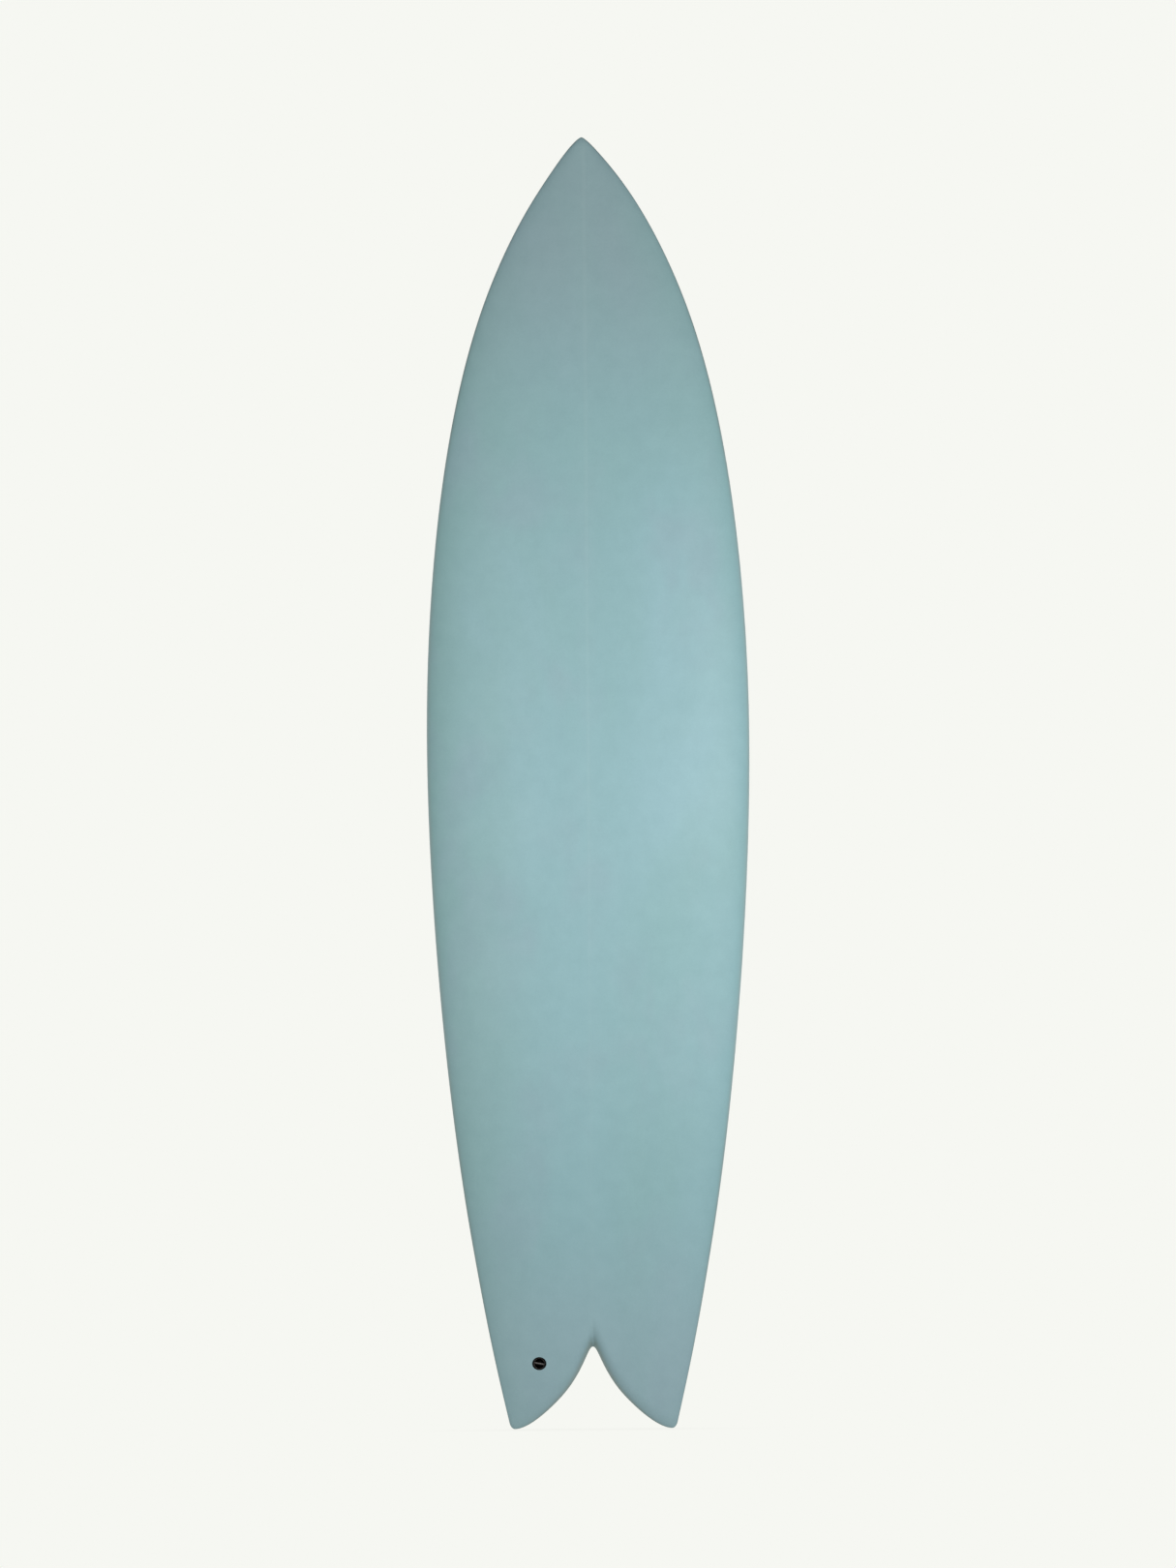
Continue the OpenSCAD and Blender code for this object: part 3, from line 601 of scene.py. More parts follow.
# ======================================================================================
# materials
# ======================================================================================
class Nodes:
    """A short way to write node graphs."""

    def __init__(self, name):
        self.mat = bpy.data.materials.new(name)
        self.mat.use_nodes = True
        self.tree = self.mat.node_tree
        self.tree.nodes.clear()
        self.out = self.new("OutputMaterial")

    def new(self, kind, inputs=None, **props):
        node = self.tree.nodes.new("ShaderNode" + kind)
        for key, value in props.items():
            setattr(node, key, value)
        for key, value in (inputs or {}).items():
            self.set(node.inputs[key], value)
        return node

    def set(self, socket, value):
        if isinstance(value, bpy.types.NodeSocket):
            self.tree.links.new(value, socket)
        else:
            if socket.type == "RGBA" and len(value) == 3:
                value = (*value, 1)
            socket.default_value = value

    def coord(self):
        return self.new("TexCoord").outputs["Object"]

    def local(self):
        """Coordinates in the piece's own frame, stored on its mesh by settle()."""
        return self.new("Attribute", attribute_name="local").outputs["Vector"]

    def xyz(self, vec):
        return self.new("SeparateXYZ", {0: vec}).outputs

    def normal_y(self):
        return self.xyz(self.new("NewGeometry").outputs["Normal"])[1]

    def math(self, operation, a, b=0.0):
        return self.new("Math", {0: a, 1: b, 2: 0.0}, operation=operation).outputs[0]

    def times(self, first, *others):
        for other in others:
            first = self.math("MULTIPLY", first, other)
        return first

    def plus(self, a, b):
        return self.math("ADD", a, b)

    def average(self, a, b):
        return self.times(self.plus(a, b), 0.5)

    def centred(self, value, gain):
        """A 0..1 value made to swing about 0, times gain."""
        return self.times(self.math("SUBTRACT", value, 0.5), gain)

    def off(self, value, centre):
        """Distance of the value from a centre."""
        return self.math("ABSOLUTE", self.math("SUBTRACT", value, centre))

    def scale(self, vec, factors):
        return self.new("Mapping", {"Vector": vec, "Scale": factors}).outputs[0]

    def noise(self, vec, scale=1.0, detail=2.0, rough=0.5, distortion=0.0):
        return self.new("TexNoise", {"Vector": vec, "Scale": scale, "Detail": detail,
                                     "Roughness": rough, "Distortion": distortion}).outputs[0]

    def wave(self, vec, axis, scale, distortion, detail=2.0, detail_scale=1.0):
        inputs = {"Vector": vec, "Scale": scale, "Distortion": distortion, "Detail": detail,
                  "Detail Scale": detail_scale}
        return self.new("TexWave", inputs, wave_type="BANDS", bands_direction=axis,
                        wave_profile="SIN").outputs["Fac"]

    def weave(self, vec, axes, **wave):
        """Plain cloth: two crossing waves."""
        return self.average(*[self.wave(vec, axis, **wave) for axis in axes])

    def remap(self, value, span=(0.3, 0.7), to=(0.0, 1.0), smooth=True):
        """Carry the span onto the range to; a falling span turns the fade round."""
        inputs = {"Value": value, "From Min": span[0], "From Max": span[1],
                  "To Min": to[0], "To Max": to[1]}
        kind = "SMOOTHSTEP" if smooth else "LINEAR"
        return self.new("MapRange", inputs, interpolation_type=kind).outputs[0]

    def mix(self, factor, a, b, mode="MIX"):
        return self.new("Mix", {0: factor, 6: a, 7: b}, data_type="RGBA",
                        blend_type=mode).outputs[2]

    def ramp(self, value, *stops):
        """Two-colour ramp from (position, colour) stops."""
        node = self.new("ValToRGB", {0: value})
        for element, (position, color) in zip(node.color_ramp.elements, stops):
            element.position, element.color = position, (*color, 1)
        return node.outputs[0]

    def bump(self, height, strength, distance, normal=None):
        inputs = {"Height": height, "Strength": strength, "Distance": distance}
        if normal is not None:
            inputs["Normal"] = normal
        return self.new("Bump", inputs).outputs[0]

    def surface(self, **inputs):
        """Finish with a principled shader; underscores stand for spaces."""
        node = self.new("BsdfPrincipled", {k.replace("_", " "): v for k, v in inputs.items()})
        self.tree.links.new(node.outputs[0], self.out.inputs[0])
        return self.mat


def srgb(*channels):
    return tuple(c / 255 / 12.92 if c / 255 <= 0.04045 else ((c / 255 + 0.055) / 1.055) ** 2.4
                 for c in channels)


def board_tint(n, p, x, z):
    """Pigment colour: slow changes over the board, then mottling."""
    # the tint reads greyer towards nose and tail; the darker nose end is painted shade
    nose_tint_and_shade, tail_tint = srgb(149, 177, 183), srgb(157, 187, 195)
    col = n.mix(n.remap(z, span=(1.55, 2.00)), srgb(148, 188, 194), nose_tint_and_shade)
    col = n.mix(n.remap(z, span=(0.40, 0.05)), col, tail_tint)
    # the left side is a little greener
    col = n.mix(n.remap(x, span=(-0.04, -0.24), to=(0.0, 0.65)), col, srgb(147, 182, 182))
    # and a little lighter and bluer in two broad patches beside the stringer, amidships: painted
    # light
    side_x = n.math("ABSOLUTE", x)
    patch = n.times(n.remap(side_x, span=(0.03, 0.13)), n.remap(side_x, span=(0.25, 0.19)))
    along = n.times(n.remap(z, span=(0.82, 1.05)), n.remap(z, span=(1.60, 1.40)))
    patch = n.times(patch, along)
    col = n.mix(n.times(patch, 0.6), col, srgb(156, 194, 203))
    # slow cloudy drift of the pigment, stretched along the board: green, then violet
    cloud = n.noise(n.scale(p, (1.0, 1.0, 0.45)), scale=3.2, detail=3.0, rough=0.55,
                    distortion=0.3)
    col = n.mix(n.remap(cloud, span=(0.42, 0.66), to=(0, 0.55)), col, srgb(143, 184, 184))
    cloud = n.noise(n.scale(p, (1.3, 1.0, 0.7)), scale=5.5, detail=3.0, rough=0.55,
                    distortion=0.2)
    col = n.mix(n.remap(cloud, span=(0.5, 0.72), to=(0, 0.5)), col, srgb(152, 180, 190))
    # finer mottling
    mottle = n.ramp(n.noise(p, scale=38.0, detail=4.0, rough=0.6),
                    (0.3, (0.962, 0.97, 0.972)), (0.7, (1.03, 1.025, 1.022)))
    col = n.mix(1.0, col, mottle, "MULTIPLY")
    mottle = n.ramp(n.noise(p, scale=420.0, detail=3.0, rough=0.6),
                    (0.3, (0.975, 0.975, 0.975)), (0.7, (1.02, 1.02, 1.02)))
    return n.mix(1.0, col, mottle, "MULTIPLY")


def stringer_line(n, col, p, x, z):
    """The stringer seen through the deck: a paler line with slightly darker glue lines."""
    centre_x = n.math("ABSOLUTE", x)
    wobble = n.centred(n.noise(n.scale(p, (0.0, 0.0, 1.0)), scale=18.0), gain=0.0012)
    wobbly_x = n.math("ABSOLUTE", n.plus(x, wobble))
    line = n.remap(wobbly_x, span=(0.0058, 0.0010))
    halo = n.remap(centre_x, span=(0.02, 0.003))
    along = n.plus(n.remap(z, span=(0.55, 1.15), to=(0.35, 1.0)), 0.0)
    deck = n.remap(n.normal_y(), span=(-0.5, -0.85))
    strength = {"line": 0.05, "halo": 0.02, "glue": 0.03}
    col = n.mix(n.times(line, along, deck, strength["line"]), col, srgb(196, 216, 214))
    col = n.mix(n.times(halo, deck, strength["halo"]), col, srgb(185, 212, 214))
    glue = n.times(n.remap(n.off(wobbly_x, 0.0036), span=(0.0009, 0.0002)),
                   n.times(along, deck))
    return n.mix(n.times(glue, strength["glue"]), col, srgb(110, 145, 152))


def mat_board():
    n = Nodes("sanded_resin_tint")
    p = n.coord()
    x, _, z = n.xyz(p)
    col = board_tint(n, p, x, z)
    # cloth showing faintly through the tint
    weave = n.weave(p, "XZ", scale=160.0, distortion=0.6, detail=1.0, detail_scale=2.0)
    threads = n.ramp(weave, (0.2, srgb(130, 165, 172)), (0.8, srgb(178, 210, 214)))
    col = n.mix(0.05, col, threads)
    col = stringer_line(n, col, p, x, z)
    # painted shade: darker and greener where the surface turns sideways round the rail
    facing = n.math("ABSOLUTE", n.normal_y())
    col = n.mix(n.times(n.remap(facing, span=(0.90, 0.45)), 0.22), col, srgb(128, 154, 150))
    # colour of the painted rail shade, darkest towards the nose
    rail_shade = n.mix(n.remap(z, span=(1.45, 1.80)), srgb(166, 189, 189), srgb(141, 157, 154))
    rail_shade = n.mix(n.remap(z, span=(0.70, 0.35)), rail_shade, srgb(157, 177, 175))
    col = n.mix(n.times(n.remap(facing, span=(0.84, 0.42)), 0.85), col, rail_shade)
    # sanding: long fine scratches in two directions, plus a slow change of gloss
    turned = n.new("VectorRotate", {"Vector": p, "Angle": 0.5}, rotation_type="Y_AXIS")
    scratches = n.average(n.noise(n.scale(p, (900.0, 900.0, 14.0))),
                          n.noise(n.scale(turned.outputs[0], (700.0, 700.0, 20.0))))
    gloss = n.noise(p, scale=7.0, detail=3.0, rough=0.6)
    rough = n.plus(n.remap(gloss, to=(0.42, 0.52)), n.centred(scratches, gain=0.22))
    bump = n.bump(scratches, strength=0.10, distance=0.00012)
    bump = n.bump(weave, strength=0.08, distance=0.0001, normal=bump)
    bump = n.bump(n.noise(p, scale=24.0), strength=0.18, distance=0.0009, normal=bump)
    return n.surface(Base_Color=col, Roughness=rough, Normal=bump, IOR=1.5,
                     Specular_IOR_Level=0.42)


def mat_cup():
    """Black moulding, with a paler ring painted on its mouth edge as a highlight."""
    n = Nodes("leash_cup_black")
    p = n.local()
    x, y, _ = n.xyz(p)
    radius = n.math("SQRT", n.plus(n.times(x, x), n.times(y, y)))
    grain = n.noise(p, scale=900.0, detail=3.0, rough=0.6)
    blotch = n.noise(p, scale=260.0, detail=3.0, rough=0.55)
    col = n.mix(n.remap(blotch), (0.0012, 0.0012, 0.0013), (0.0032, 0.0031, 0.0032))
    # painted highlight: a paler ring round the mouth's rounded edge
    rim_glint = n.remap(n.off(radius, 0.00845), span=(0.0005, 0.00015))
    rim_glint = n.times(rim_glint, n.remap(blotch, span=(0.38, 0.6), to=(0.35, 1.0)))
    col = n.mix(n.times(rim_glint, 0.9), col, (0.125, 0.108, 0.102))
    rough = n.math("SUBTRACT", n.remap(grain, to=(0.38, 0.52)), n.times(rim_glint, 0.1))
    return n.surface(Base_Color=col, Roughness=rough, Specular_IOR_Level=0.15,
                     Normal=n.bump(grain, strength=0.2, distance=0.00006))


def mat_plug():
    n = Nodes("fin_plug_white")
    p = n.local()
    grain = n.noise(p, scale=900.0, detail=3.0, rough=0.6)
    blotch = n.noise(p, scale=72.0, detail=3.0, rough=0.55)
    white, variation = srgb(226, 226, 218), 0.04
    dark = tuple(c * (1 - variation) for c in white)
    light = tuple(min(1, c * (1 + variation) + 0.002) for c in white)
    col = n.mix(n.remap(blotch), dark, light)
    scratches = n.noise(n.scale(p, (360.0, 2700.0, 360.0)))
    rough = n.plus(n.remap(grain, to=(0.32, 0.46)), n.centred(scratches, gain=0.15))
    return n.surface(Base_Color=col, Roughness=rough, Specular_IOR_Level=0.45,
                     Normal=n.bump(grain, strength=0.12, distance=0.00006))


def mat_metal(name, color, rough, brushing):
    """Brushed metal; brushing is the noise scale along x, y and z."""
    n = Nodes(name)
    p = n.local()
    brushed = n.noise(n.scale(p, brushing), detail=3.0, rough=0.6)
    blotch = n.noise(p, scale=300.0, detail=3.0)
    col = n.mix(n.remap(blotch), tuple(c * 0.88 for c in color), color)
    rough = n.plus(n.remap(brushed, to=(rough - 0.1, rough + 0.12)), n.times(blotch, 0.06))
    return n.surface(Base_Color=col, Metallic=1.0, Roughness=rough,
                     Normal=n.bump(brushed, strength=0.25, distance=0.00003))


def mat_ply():
    """Laminated wood under clear resin; the foiled surface shows its layers as bands."""
    n = Nodes("laminated_keel")
    p = n.local()
    x = n.xyz(p)[0]
    warp = n.centred(n.noise(p, scale=12.0), gain=0.0005)
    # layers come in pairs 2.6 mm thick, counted from 20 mm off the keel's plane
    layer = n.math("DIVIDE", n.plus(n.plus(x, 0.02), warp), 0.0026)
    layer = n.math("FRACT", layer)
    seam = n.remap(n.off(layer, 0.5), span=(0.44, 0.5))
    is_dark = n.math("GREATER_THAN", layer, 0.5)
    grain = {"detail": 4.0, "rough": 0.62, "distortion": 0.6}
    along_y = n.noise(n.scale(p, (500.0, 9.0, 420.0)), **grain)
    along_z = n.noise(n.scale(p, (500.0, 420.0, 9.0)), **grain)
    light = n.mix(along_y, srgb(198, 154, 102), srgb(230, 196, 146))
    dark = n.mix(along_z, srgb(146, 96, 56), srgb(188, 135, 85))
    col = n.mix(is_dark, light, dark)
    col = n.mix(n.times(seam, 0.6), col, srgb(84, 50, 28))
    pores = n.noise(n.scale(p, (900.0, 40.0, 900.0)))
    col = n.mix(n.remap(pores, span=(0.62, 0.75), to=(0, 0.35)), col, srgb(96, 60, 34))
    rough = n.remap(n.noise(p, scale=60.0, detail=3.0), to=(0.22, 0.34))
    return n.surface(Base_Color=col, Roughness=rough, Coat_Weight=0.6, Coat_Roughness=0.18,
                     Normal=n.bump(n.noise(p, scale=90.0), strength=0.06, distance=0.0004))


def mat_laminate():
    n = Nodes("fin_base_laminate")
    p = n.local()
    weave = n.weave(p, "YZ", scale=190.0, distortion=0.5)
    cloud = n.noise(p, scale=40.0, detail=3.0)
    col = n.mix(weave, srgb(196, 196, 182), srgb(226, 225, 212))
    col = n.mix(n.remap(cloud, span=(0.4, 0.7), to=(0, 0.35)), col, srgb(206, 196, 166))
    return n.surface(Base_Color=col, Roughness=n.remap(cloud, to=(0.28, 0.42)),
                     Normal=n.bump(weave, strength=0.12, distance=0.0001))


def mat_foam():
    n = Nodes("shaped_foam")
    p = n.coord()
    cells = n.new("TexVoronoi", {"Vector": p, "Scale": 1400.0}, feature="F1")
    cells = cells.outputs["Distance"]
    col = n.mix(n.remap(n.noise(p, scale=20.0, detail=3.0)),
                srgb(236, 233, 222), srgb(245, 243, 235))
    col = n.mix(n.remap(cells, span=(0.1, 0.6), to=(0.25, 0.0)), col, srgb(205, 200, 186))
    return n.surface(Base_Color=col, Roughness=0.9,
                     Normal=n.bump(cells, strength=0.5, distance=0.0003))


def mat_stringer():
    n = Nodes("stringer_wood")
    p = n.coord()
    grain = n.noise(n.scale(p, (300.0, 300.0, 6.0)), detail=4.0, rough=0.6, distortion=0.4)
    bands = n.wave(n.scale(p, (1.0, 1.0, 0.05)), "Y", scale=90.0, distortion=3.0, detail=3.0,
                   detail_scale=1.2)
    col = n.mix(grain, srgb(176, 142, 98), srgb(214, 186, 142))
    col = n.mix(n.times(bands, 0.35), col, srgb(150, 112, 70))
    return n.surface(Base_Color=col, Roughness=n.remap(grain, span=(0, 1), to=(0.55, 0.75)),
                     Normal=n.bump(grain, strength=0.3, distance=0.0002))


def mat_cloth():
    n = Nodes("wetted_cloth")
    weave = n.weave(n.coord(), "XZ", scale=160.0, distortion=0.4)
    col = n.mix(weave, srgb(200, 208, 205), srgb(232, 236, 233))
    return n.surface(Base_Color=col, Roughness=n.remap(weave, span=(0, 1), to=(0.4, 0.6)),
                     Normal=n.bump(weave, strength=0.5, distance=0.0002))


BOARD_MAT = mat_board()
CUP_MAT = mat_cup()
BAR_MAT = mat_metal("leash_bar_steel", color=(0.17, 0.16, 0.155), rough=0.36,
                    brushing=(60, 1800, 60))
PLUG_MAT = mat_plug()
SCREW_MAT = mat_metal("screw_steel", color=(0.62, 0.61, 0.59), rough=0.28,
                      brushing=(60, 60, 2400))
PLY_MAT = mat_ply()
LAMINATE_MAT = mat_laminate()
FOAM_MAT = mat_foam()
STRINGER_MAT = mat_stringer()
CLOTH_MAT = mat_cloth()


# ======================================================================================
# board skin
# ======================================================================================
def hull(rows, rail_columns, inset, deck_inset, bottom_inset):
    """One closed surface over the whole board: vertices and faces."""
    X, Z, deck_y, bottom_y_grid = surfaces(rows, rail_columns, inset, deck_inset, bottom_inset)
    row_count, half_count = X.shape
    columns = mirrored(half_count)
    count = len(columns)
    deck = np.zeros((row_count, count), int)
    bottom = deck.copy()
    # vertex 0 is the nose pole
    pole_y = float(BOTTOM_Y - rocker(LENGTH - inset) - apex(LENGTH) * NOSE_THICK)
    verts = [(0, pole_y, LENGTH - inset)]
    for i in range(row_count):
        for c, (sign, j) in enumerate(columns):
            verts.append((sign * X[i, j], deck_y[i, j], Z[i, j]))
            deck[i, c] = bottom[i, c] = len(verts) - 1
            # deck and bottom share the points on the rail and on the swallow edge
            if j < half_count - 1 and i < row_count - 1:
                verts.append((sign * X[i, j], bottom_y_grid[i, j], Z[i, j]))
                bottom[i, c] = len(verts) - 1
    faces = []
    for c in range(count - 1):
        faces.append((0, deck[0, c + 1], deck[0, c]))
        faces.append((0, bottom[0, c], bottom[0, c + 1]))
    for i in range(row_count - 1):
        for c in range(count - 1):
            for grid, is_deck in ((deck, True), (bottom, False)):
                if i < row_count - 2 or c not in (0, count - 2):
                    faces.append(quad(grid, i, c, is_deck))
                    continue
                # split the tip's corner cell so that deck and bottom never share a face
                p, q, r, s = quad(grid, i, c)
                pair = [(p, q, r), (p, r, s)] if c == count - 2 else [(p, q, s), (q, r, s)]
                faces += pair if is_deck else [f[::-1] for f in pair]
    return verts, faces


def shape_nose(obj):
    """Run the last 150 mm of the nose a little narrower, with the tip 3 mm to the left."""
    narrowing, narrow_length = 0.045, 0.075
    tip_shift, shift_length = 0.0032, 0.052
    mesh = obj.data
    co = np.empty(len(mesh.vertices) * 3, np.float64)
    mesh.vertices.foreach_get("co", co)
    co = co.reshape(-1, 3)
    drop = LENGTH * MM - co[:, 2]
    co[:, 0] = (co[:, 0] * (1 - narrowing * np.exp(-((drop / narrow_length) ** 2)))
                - tip_shift * np.exp(-((drop / shift_length) ** 2)))
    mesh.vertices.foreach_set("co", co.ravel())
    mesh.update()


def board_skin():
    verts, faces = hull(rows_for(70, 90, 100), columns_for(44), 0.0, 0.0, 0.0)
    inner_verts, inner_faces = hull(rows_for(30, 40, 50), columns_for(24),
                                    inset=1.2, deck_inset=1.2, bottom_inset=0.9)
    start = len(verts)
    inner_faces = [tuple(start + i for i in f[::-1]) for f in inner_faces]
    skin = mesh_obj("board_skin", verts + inner_verts, faces + inner_faces)
    shape_nose(skin)
    # the glass was laid over the leash plug and sanded open, leaving the opening slightly oval
    oval = Matrix.Diagonal((11.85 * MM, 10.75 * MM, MM, 1))
    tools = [rod(leash_frame @ oval, 1, -8, 8, segments=128, scale=1.0)]
    tools += [rod(plug_frame(side, end), PLUG_R + 0.06, -8, 8, segments=128)
              for side in SIDES for end in ENDS]
    cut(skin, tools)
    sharpen(skin, 40)
    hand_over(skin, BOARD_MAT, "board", "tinted_glass_deck", "deck_glass", "bottom_glass")


board_skin()


# ======================================================================================
# leash plug
# ======================================================================================
def leash_cup():
    # (r, z) from the bottom's centre up the outside, over the rim and down the inside
    profile = [(0, -CUP_D), (10.6, -CUP_D)] + arc(11.2, -15.2, 0.8, -90, 0, 4)[1:]
    profile += [(CUP_R, -13.0)]
    # shallow keying grooves hold the cup in the foam
    profile += grooves(CUP_R, depth=0.45, starts=(-12.0, -8.6, -5.2), slant=0.35, width=1.5)
    profile += [(CUP_R, -1.55), (11.8, -1.35), (10.75, -1.32)] + arc(10.15, -0.5, 0.5, 0, 80, 6)
    profile += [(9.8, 0.02), (9.5, 0.0)] + arc(9.15, -0.9, 0.9, 75, 172, 8)
    profile += [(8.2, -1.6), (8.2, -3.0), (8.05, -3.3), (8.05, -10.5)]
    profile += arc(4.05, -10.0, 4.0, -8, -90, 8) + [(0, -14.0)]
    cup = lathe("leash_cup", profile, 128)
    half = BAR_HALF + 0.05
    cut(cup, [rod(BAR_PLACE, BAR_R + 0.06, -half, half, segments=48)])
    sharpen(cup, 35)
    settle(cup, leash_frame)
    hand_over(cup, CUP_MAT, "board", "leash_plastic", "leash_plug_cup")


def leash_bar():
    chamfer = 0.3
    end_r, side_z = BAR_R - chamfer, BAR_HALF - chamfer
    profile = [(0, -BAR_HALF), (end_r, -BAR_HALF), (BAR_R, -side_z),
               (BAR_R, side_z), (end_r, BAR_HALF), (0, BAR_HALF)]
    bar = placed(lathe("leash_bar", profile, 64), turn("Y", 90))
    sharpen(bar, 30)
    settle(bar, leash_frame @ turn("Z", -10) @ shift(0, 0, -5.6))
    hand_over(bar, BAR_MAT, "board", "leash_steel", "leash_plug_bar")


leash_cup()
leash_bar()


# ======================================================================================
# fin plugs and their screws
# ======================================================================================
def fin_plug(side, end):
    name = f"fin_plug_{SIDES[side]}_{ENDS[end]}"
    place = plug_frame(side, end)
    face = place.inverted() @ face_frame(side, end)
    profile = [(0, -PLUG_D), (PLUG_R - 0.9, -PLUG_D), (PLUG_R, -PLUG_D + 0.9)]
    profile += grooves(PLUG_R, depth=0.5, starts=(-13.5, -9.5, -5.5), slant=0.4, width=1.7)
    profile += [(PLUG_R, 4.0), (0, 4.0)]
    plug = lathe(name + "_body", profile, 128)
    # flush with the board: everything above the board's own plane goes
    top = placed(block((-60, -60, 0), (60, 60, 60)), face)
    # ring-shaped groove that follows the face
    ring_profile = [(12.6, -0.35), (13.0, -0.35), (13.0, 1), (12.6, 1), (12.6, -0.35)]
    ring = placed(lathe("cutter", ring_profile, 128), face)
    half_w, half_l = TAB_W / 2 + 0.1, TAB_L / 2 + 0.1
    tab_slot = block((-half_w, -half_l, -TAB_D - 0.5), (half_w, half_l, 30))
    bevel(tab_slot, 0.0006)
    bore = rod(place.inverted() @ screw_frame(side, end), 2.56, -SCREW_IN - 0.4, 6, segments=48)
    cut(plug, [top, tab_slot, bore, ring])
    bevel(plug, 0.00022, 2, 35)
    tidy(plug, 4e-6)
    sharpen(plug, 40)
    settle(plug, place)
    hand_over(plug, PLUG_MAT, "board", "plug_plastic", name)


def grub_screw(side, end):
    """Threaded screw with its cone at z = 0 and a hexagonal socket at the other end."""
    name = f"grub_screw_{SIDES[side]}_{ENDS[end]}"
    root_r, crest_r, pitch = 2.08, 2.47, 0.8
    chamfer_h, chamfer_r = 0.45, 0.55
    socket_r, socket_depth = 1.44, 2.5
    levels, around = 96, 48
    verts, faces = [], []
    for i in range(levels + 1):
        z = SCREW_L * i / levels
        for j in range(around):
            phase = (z / pitch - j / around) % 1.0
            ridge = min(1, max(0, abs(2 * phase - 1) * 1.25 - 0.1))
            end_cut = chamfer_r * max(0, (z - (SCREW_L - chamfer_h)) / chamfer_h)
            r = min(root_r + (crest_r - root_r) * ridge, POINT_R + POINT_SLOPE * z,
                    crest_r - end_cut)
            angle = 2 * math.pi * j / around
            verts.append((r * math.cos(angle), r * math.sin(angle), z))
    for i in range(levels):
        low, high = i * around, (i + 1) * around
        for j in range(around):
            k = (j + 1) % around
            faces.append((low + j, low + k, high + k, high + j))
    faces.append(tuple(range(around - 1, -1, -1)))
    faces.append(tuple(levels * around + j for j in range(around)))
    screw = mesh_obj(name + "_threaded", verts, faces)
    hex_verts = [(socket_r * math.cos(math.pi * i / 3), socket_r * math.sin(math.pi * i / 3), z)
                 for z in (SCREW_L - socket_depth, SCREW_L + 1) for i in range(6)]
    hex_faces = [(5, 4, 3, 2, 1, 0), (6, 7, 8, 9, 10, 11)]
    hex_faces += [(i, (i + 1) % 6, 6 + (i + 1) % 6, 6 + i) for i in range(6)]
    socket = mesh_obj("cutter", hex_verts, hex_faces, smooth=False)
    countersink = lathe("cutter", [(0, SCREW_L - 0.3), (1.3, SCREW_L - 0.3),
                                   (1.95, SCREW_L + 0.35), (0, SCREW_L + 0.35)], 48)
    cut(screw, [socket, countersink])
    sharpen(screw, 38)
    settle(screw, screw_frame(side, end) @ shift(0, 0, -SCREW_IN))
    hand_over(screw, SCREW_MAT, f"grub_{SIDES[side]}_{ENDS[end]}", "screw_steel", name)


for side in SIDES:
    for end in ENDS:
        fin_plug(side, end)
        grub_screw(side, end)

# ======================================================================================
# keels: outline curves as (distance towards the tail, height)
# ======================================================================================
HALF_BASE = KEEL_BASE / 2
TRAIL_SPLIT = KEEL_H * 0.82  # where the trailing edge passes to its upper curve


def keel_curve(*points):
    """Curve from points given as parts of the half base and the height."""
    return np.array([[HALF_BASE * y, KEEL_H * z] for y, z in points])


LEADING = keel_curve((-1, 0), (-0.68, 0.36), (-0.16, 0.9), (0.6, 1.005))
TRAILING_LOW = keel_curve((1, 0), (0.86, 0.24), (0.8, 0.56), (0.9, 0.82))
TRAILING_TOP = keel_curve((0.9, 0.82), (0.96, 0.96), (0.84, 1.004), (0.62, 1.004))


def keel_section(height, side, grow=0.0, steps=40):
    """Foil section (x, y) at a height: the fuller face outboard, the flatter one inboard."""
    front = curve_point(LEADING, curve_param(LEADING, 1, height))[0]
    trailing = TRAILING_LOW if height < TRAIL_SPLIT else TRAILING_TOP
    rear = curve_point(trailing, curve_param(trailing, 1, height))[0]
    thick = KEEL_T * (0.16 + 0.84 * max(0, 1 - height / KEEL_H) ** 0.62)
    chord = (1 - np.cos(np.pi * np.arange(steps + 1) / steps)) / 2
    foil = 2.6 * np.sqrt(chord) * (1 - chord) + 0.09 * np.minimum(1, 8 * chord)
    ys = front - grow + chord * (rear - front + 2 * grow)
    outer = [(side * (thick * 0.72 * f + grow), y) for f, y in zip(foil, ys)]
    inner = [(-side * (thick * 0.28 * foil[i] + 0.15 + grow), ys[i])
             for i in range(steps - 1, 0, -1)]
    return outer + inner


def keel_blade(side):
    start = BASE_H + 0.05
    heights = start + (KEEL_H - BASE_H - 0.05) * (1 - (1 - np.linspace(0, 1, 70)) ** 1.7)
    # sections are taken just below their height, as the curves close at the top
    rings = [[(x, y, h) for x, y in keel_section(min(h, KEEL_H * 0.9995) * 0.9995, side)]
             for h in heights]
    blade = loft(f"keel_blade_{SIDES[side]}_ply", rings)
    sharpen(blade, 50)
    settle(blade, keel_frame(side))
    hand_over(blade, PLY_MAT, f"keel_{SIDES[side]}", "keel_wood", f"keel_blade_{SIDES[side]}")


def bottom_height(place, x, y):
    """Height of the board's bottom at (x, y) in the keel's frame."""
    height = 0.0
    for _ in range(4):
        spot = place @ Vector((x * MM, y * MM, height * MM))
        height += bottom_y(spot.z / MM) - spot.y / MM
    return height


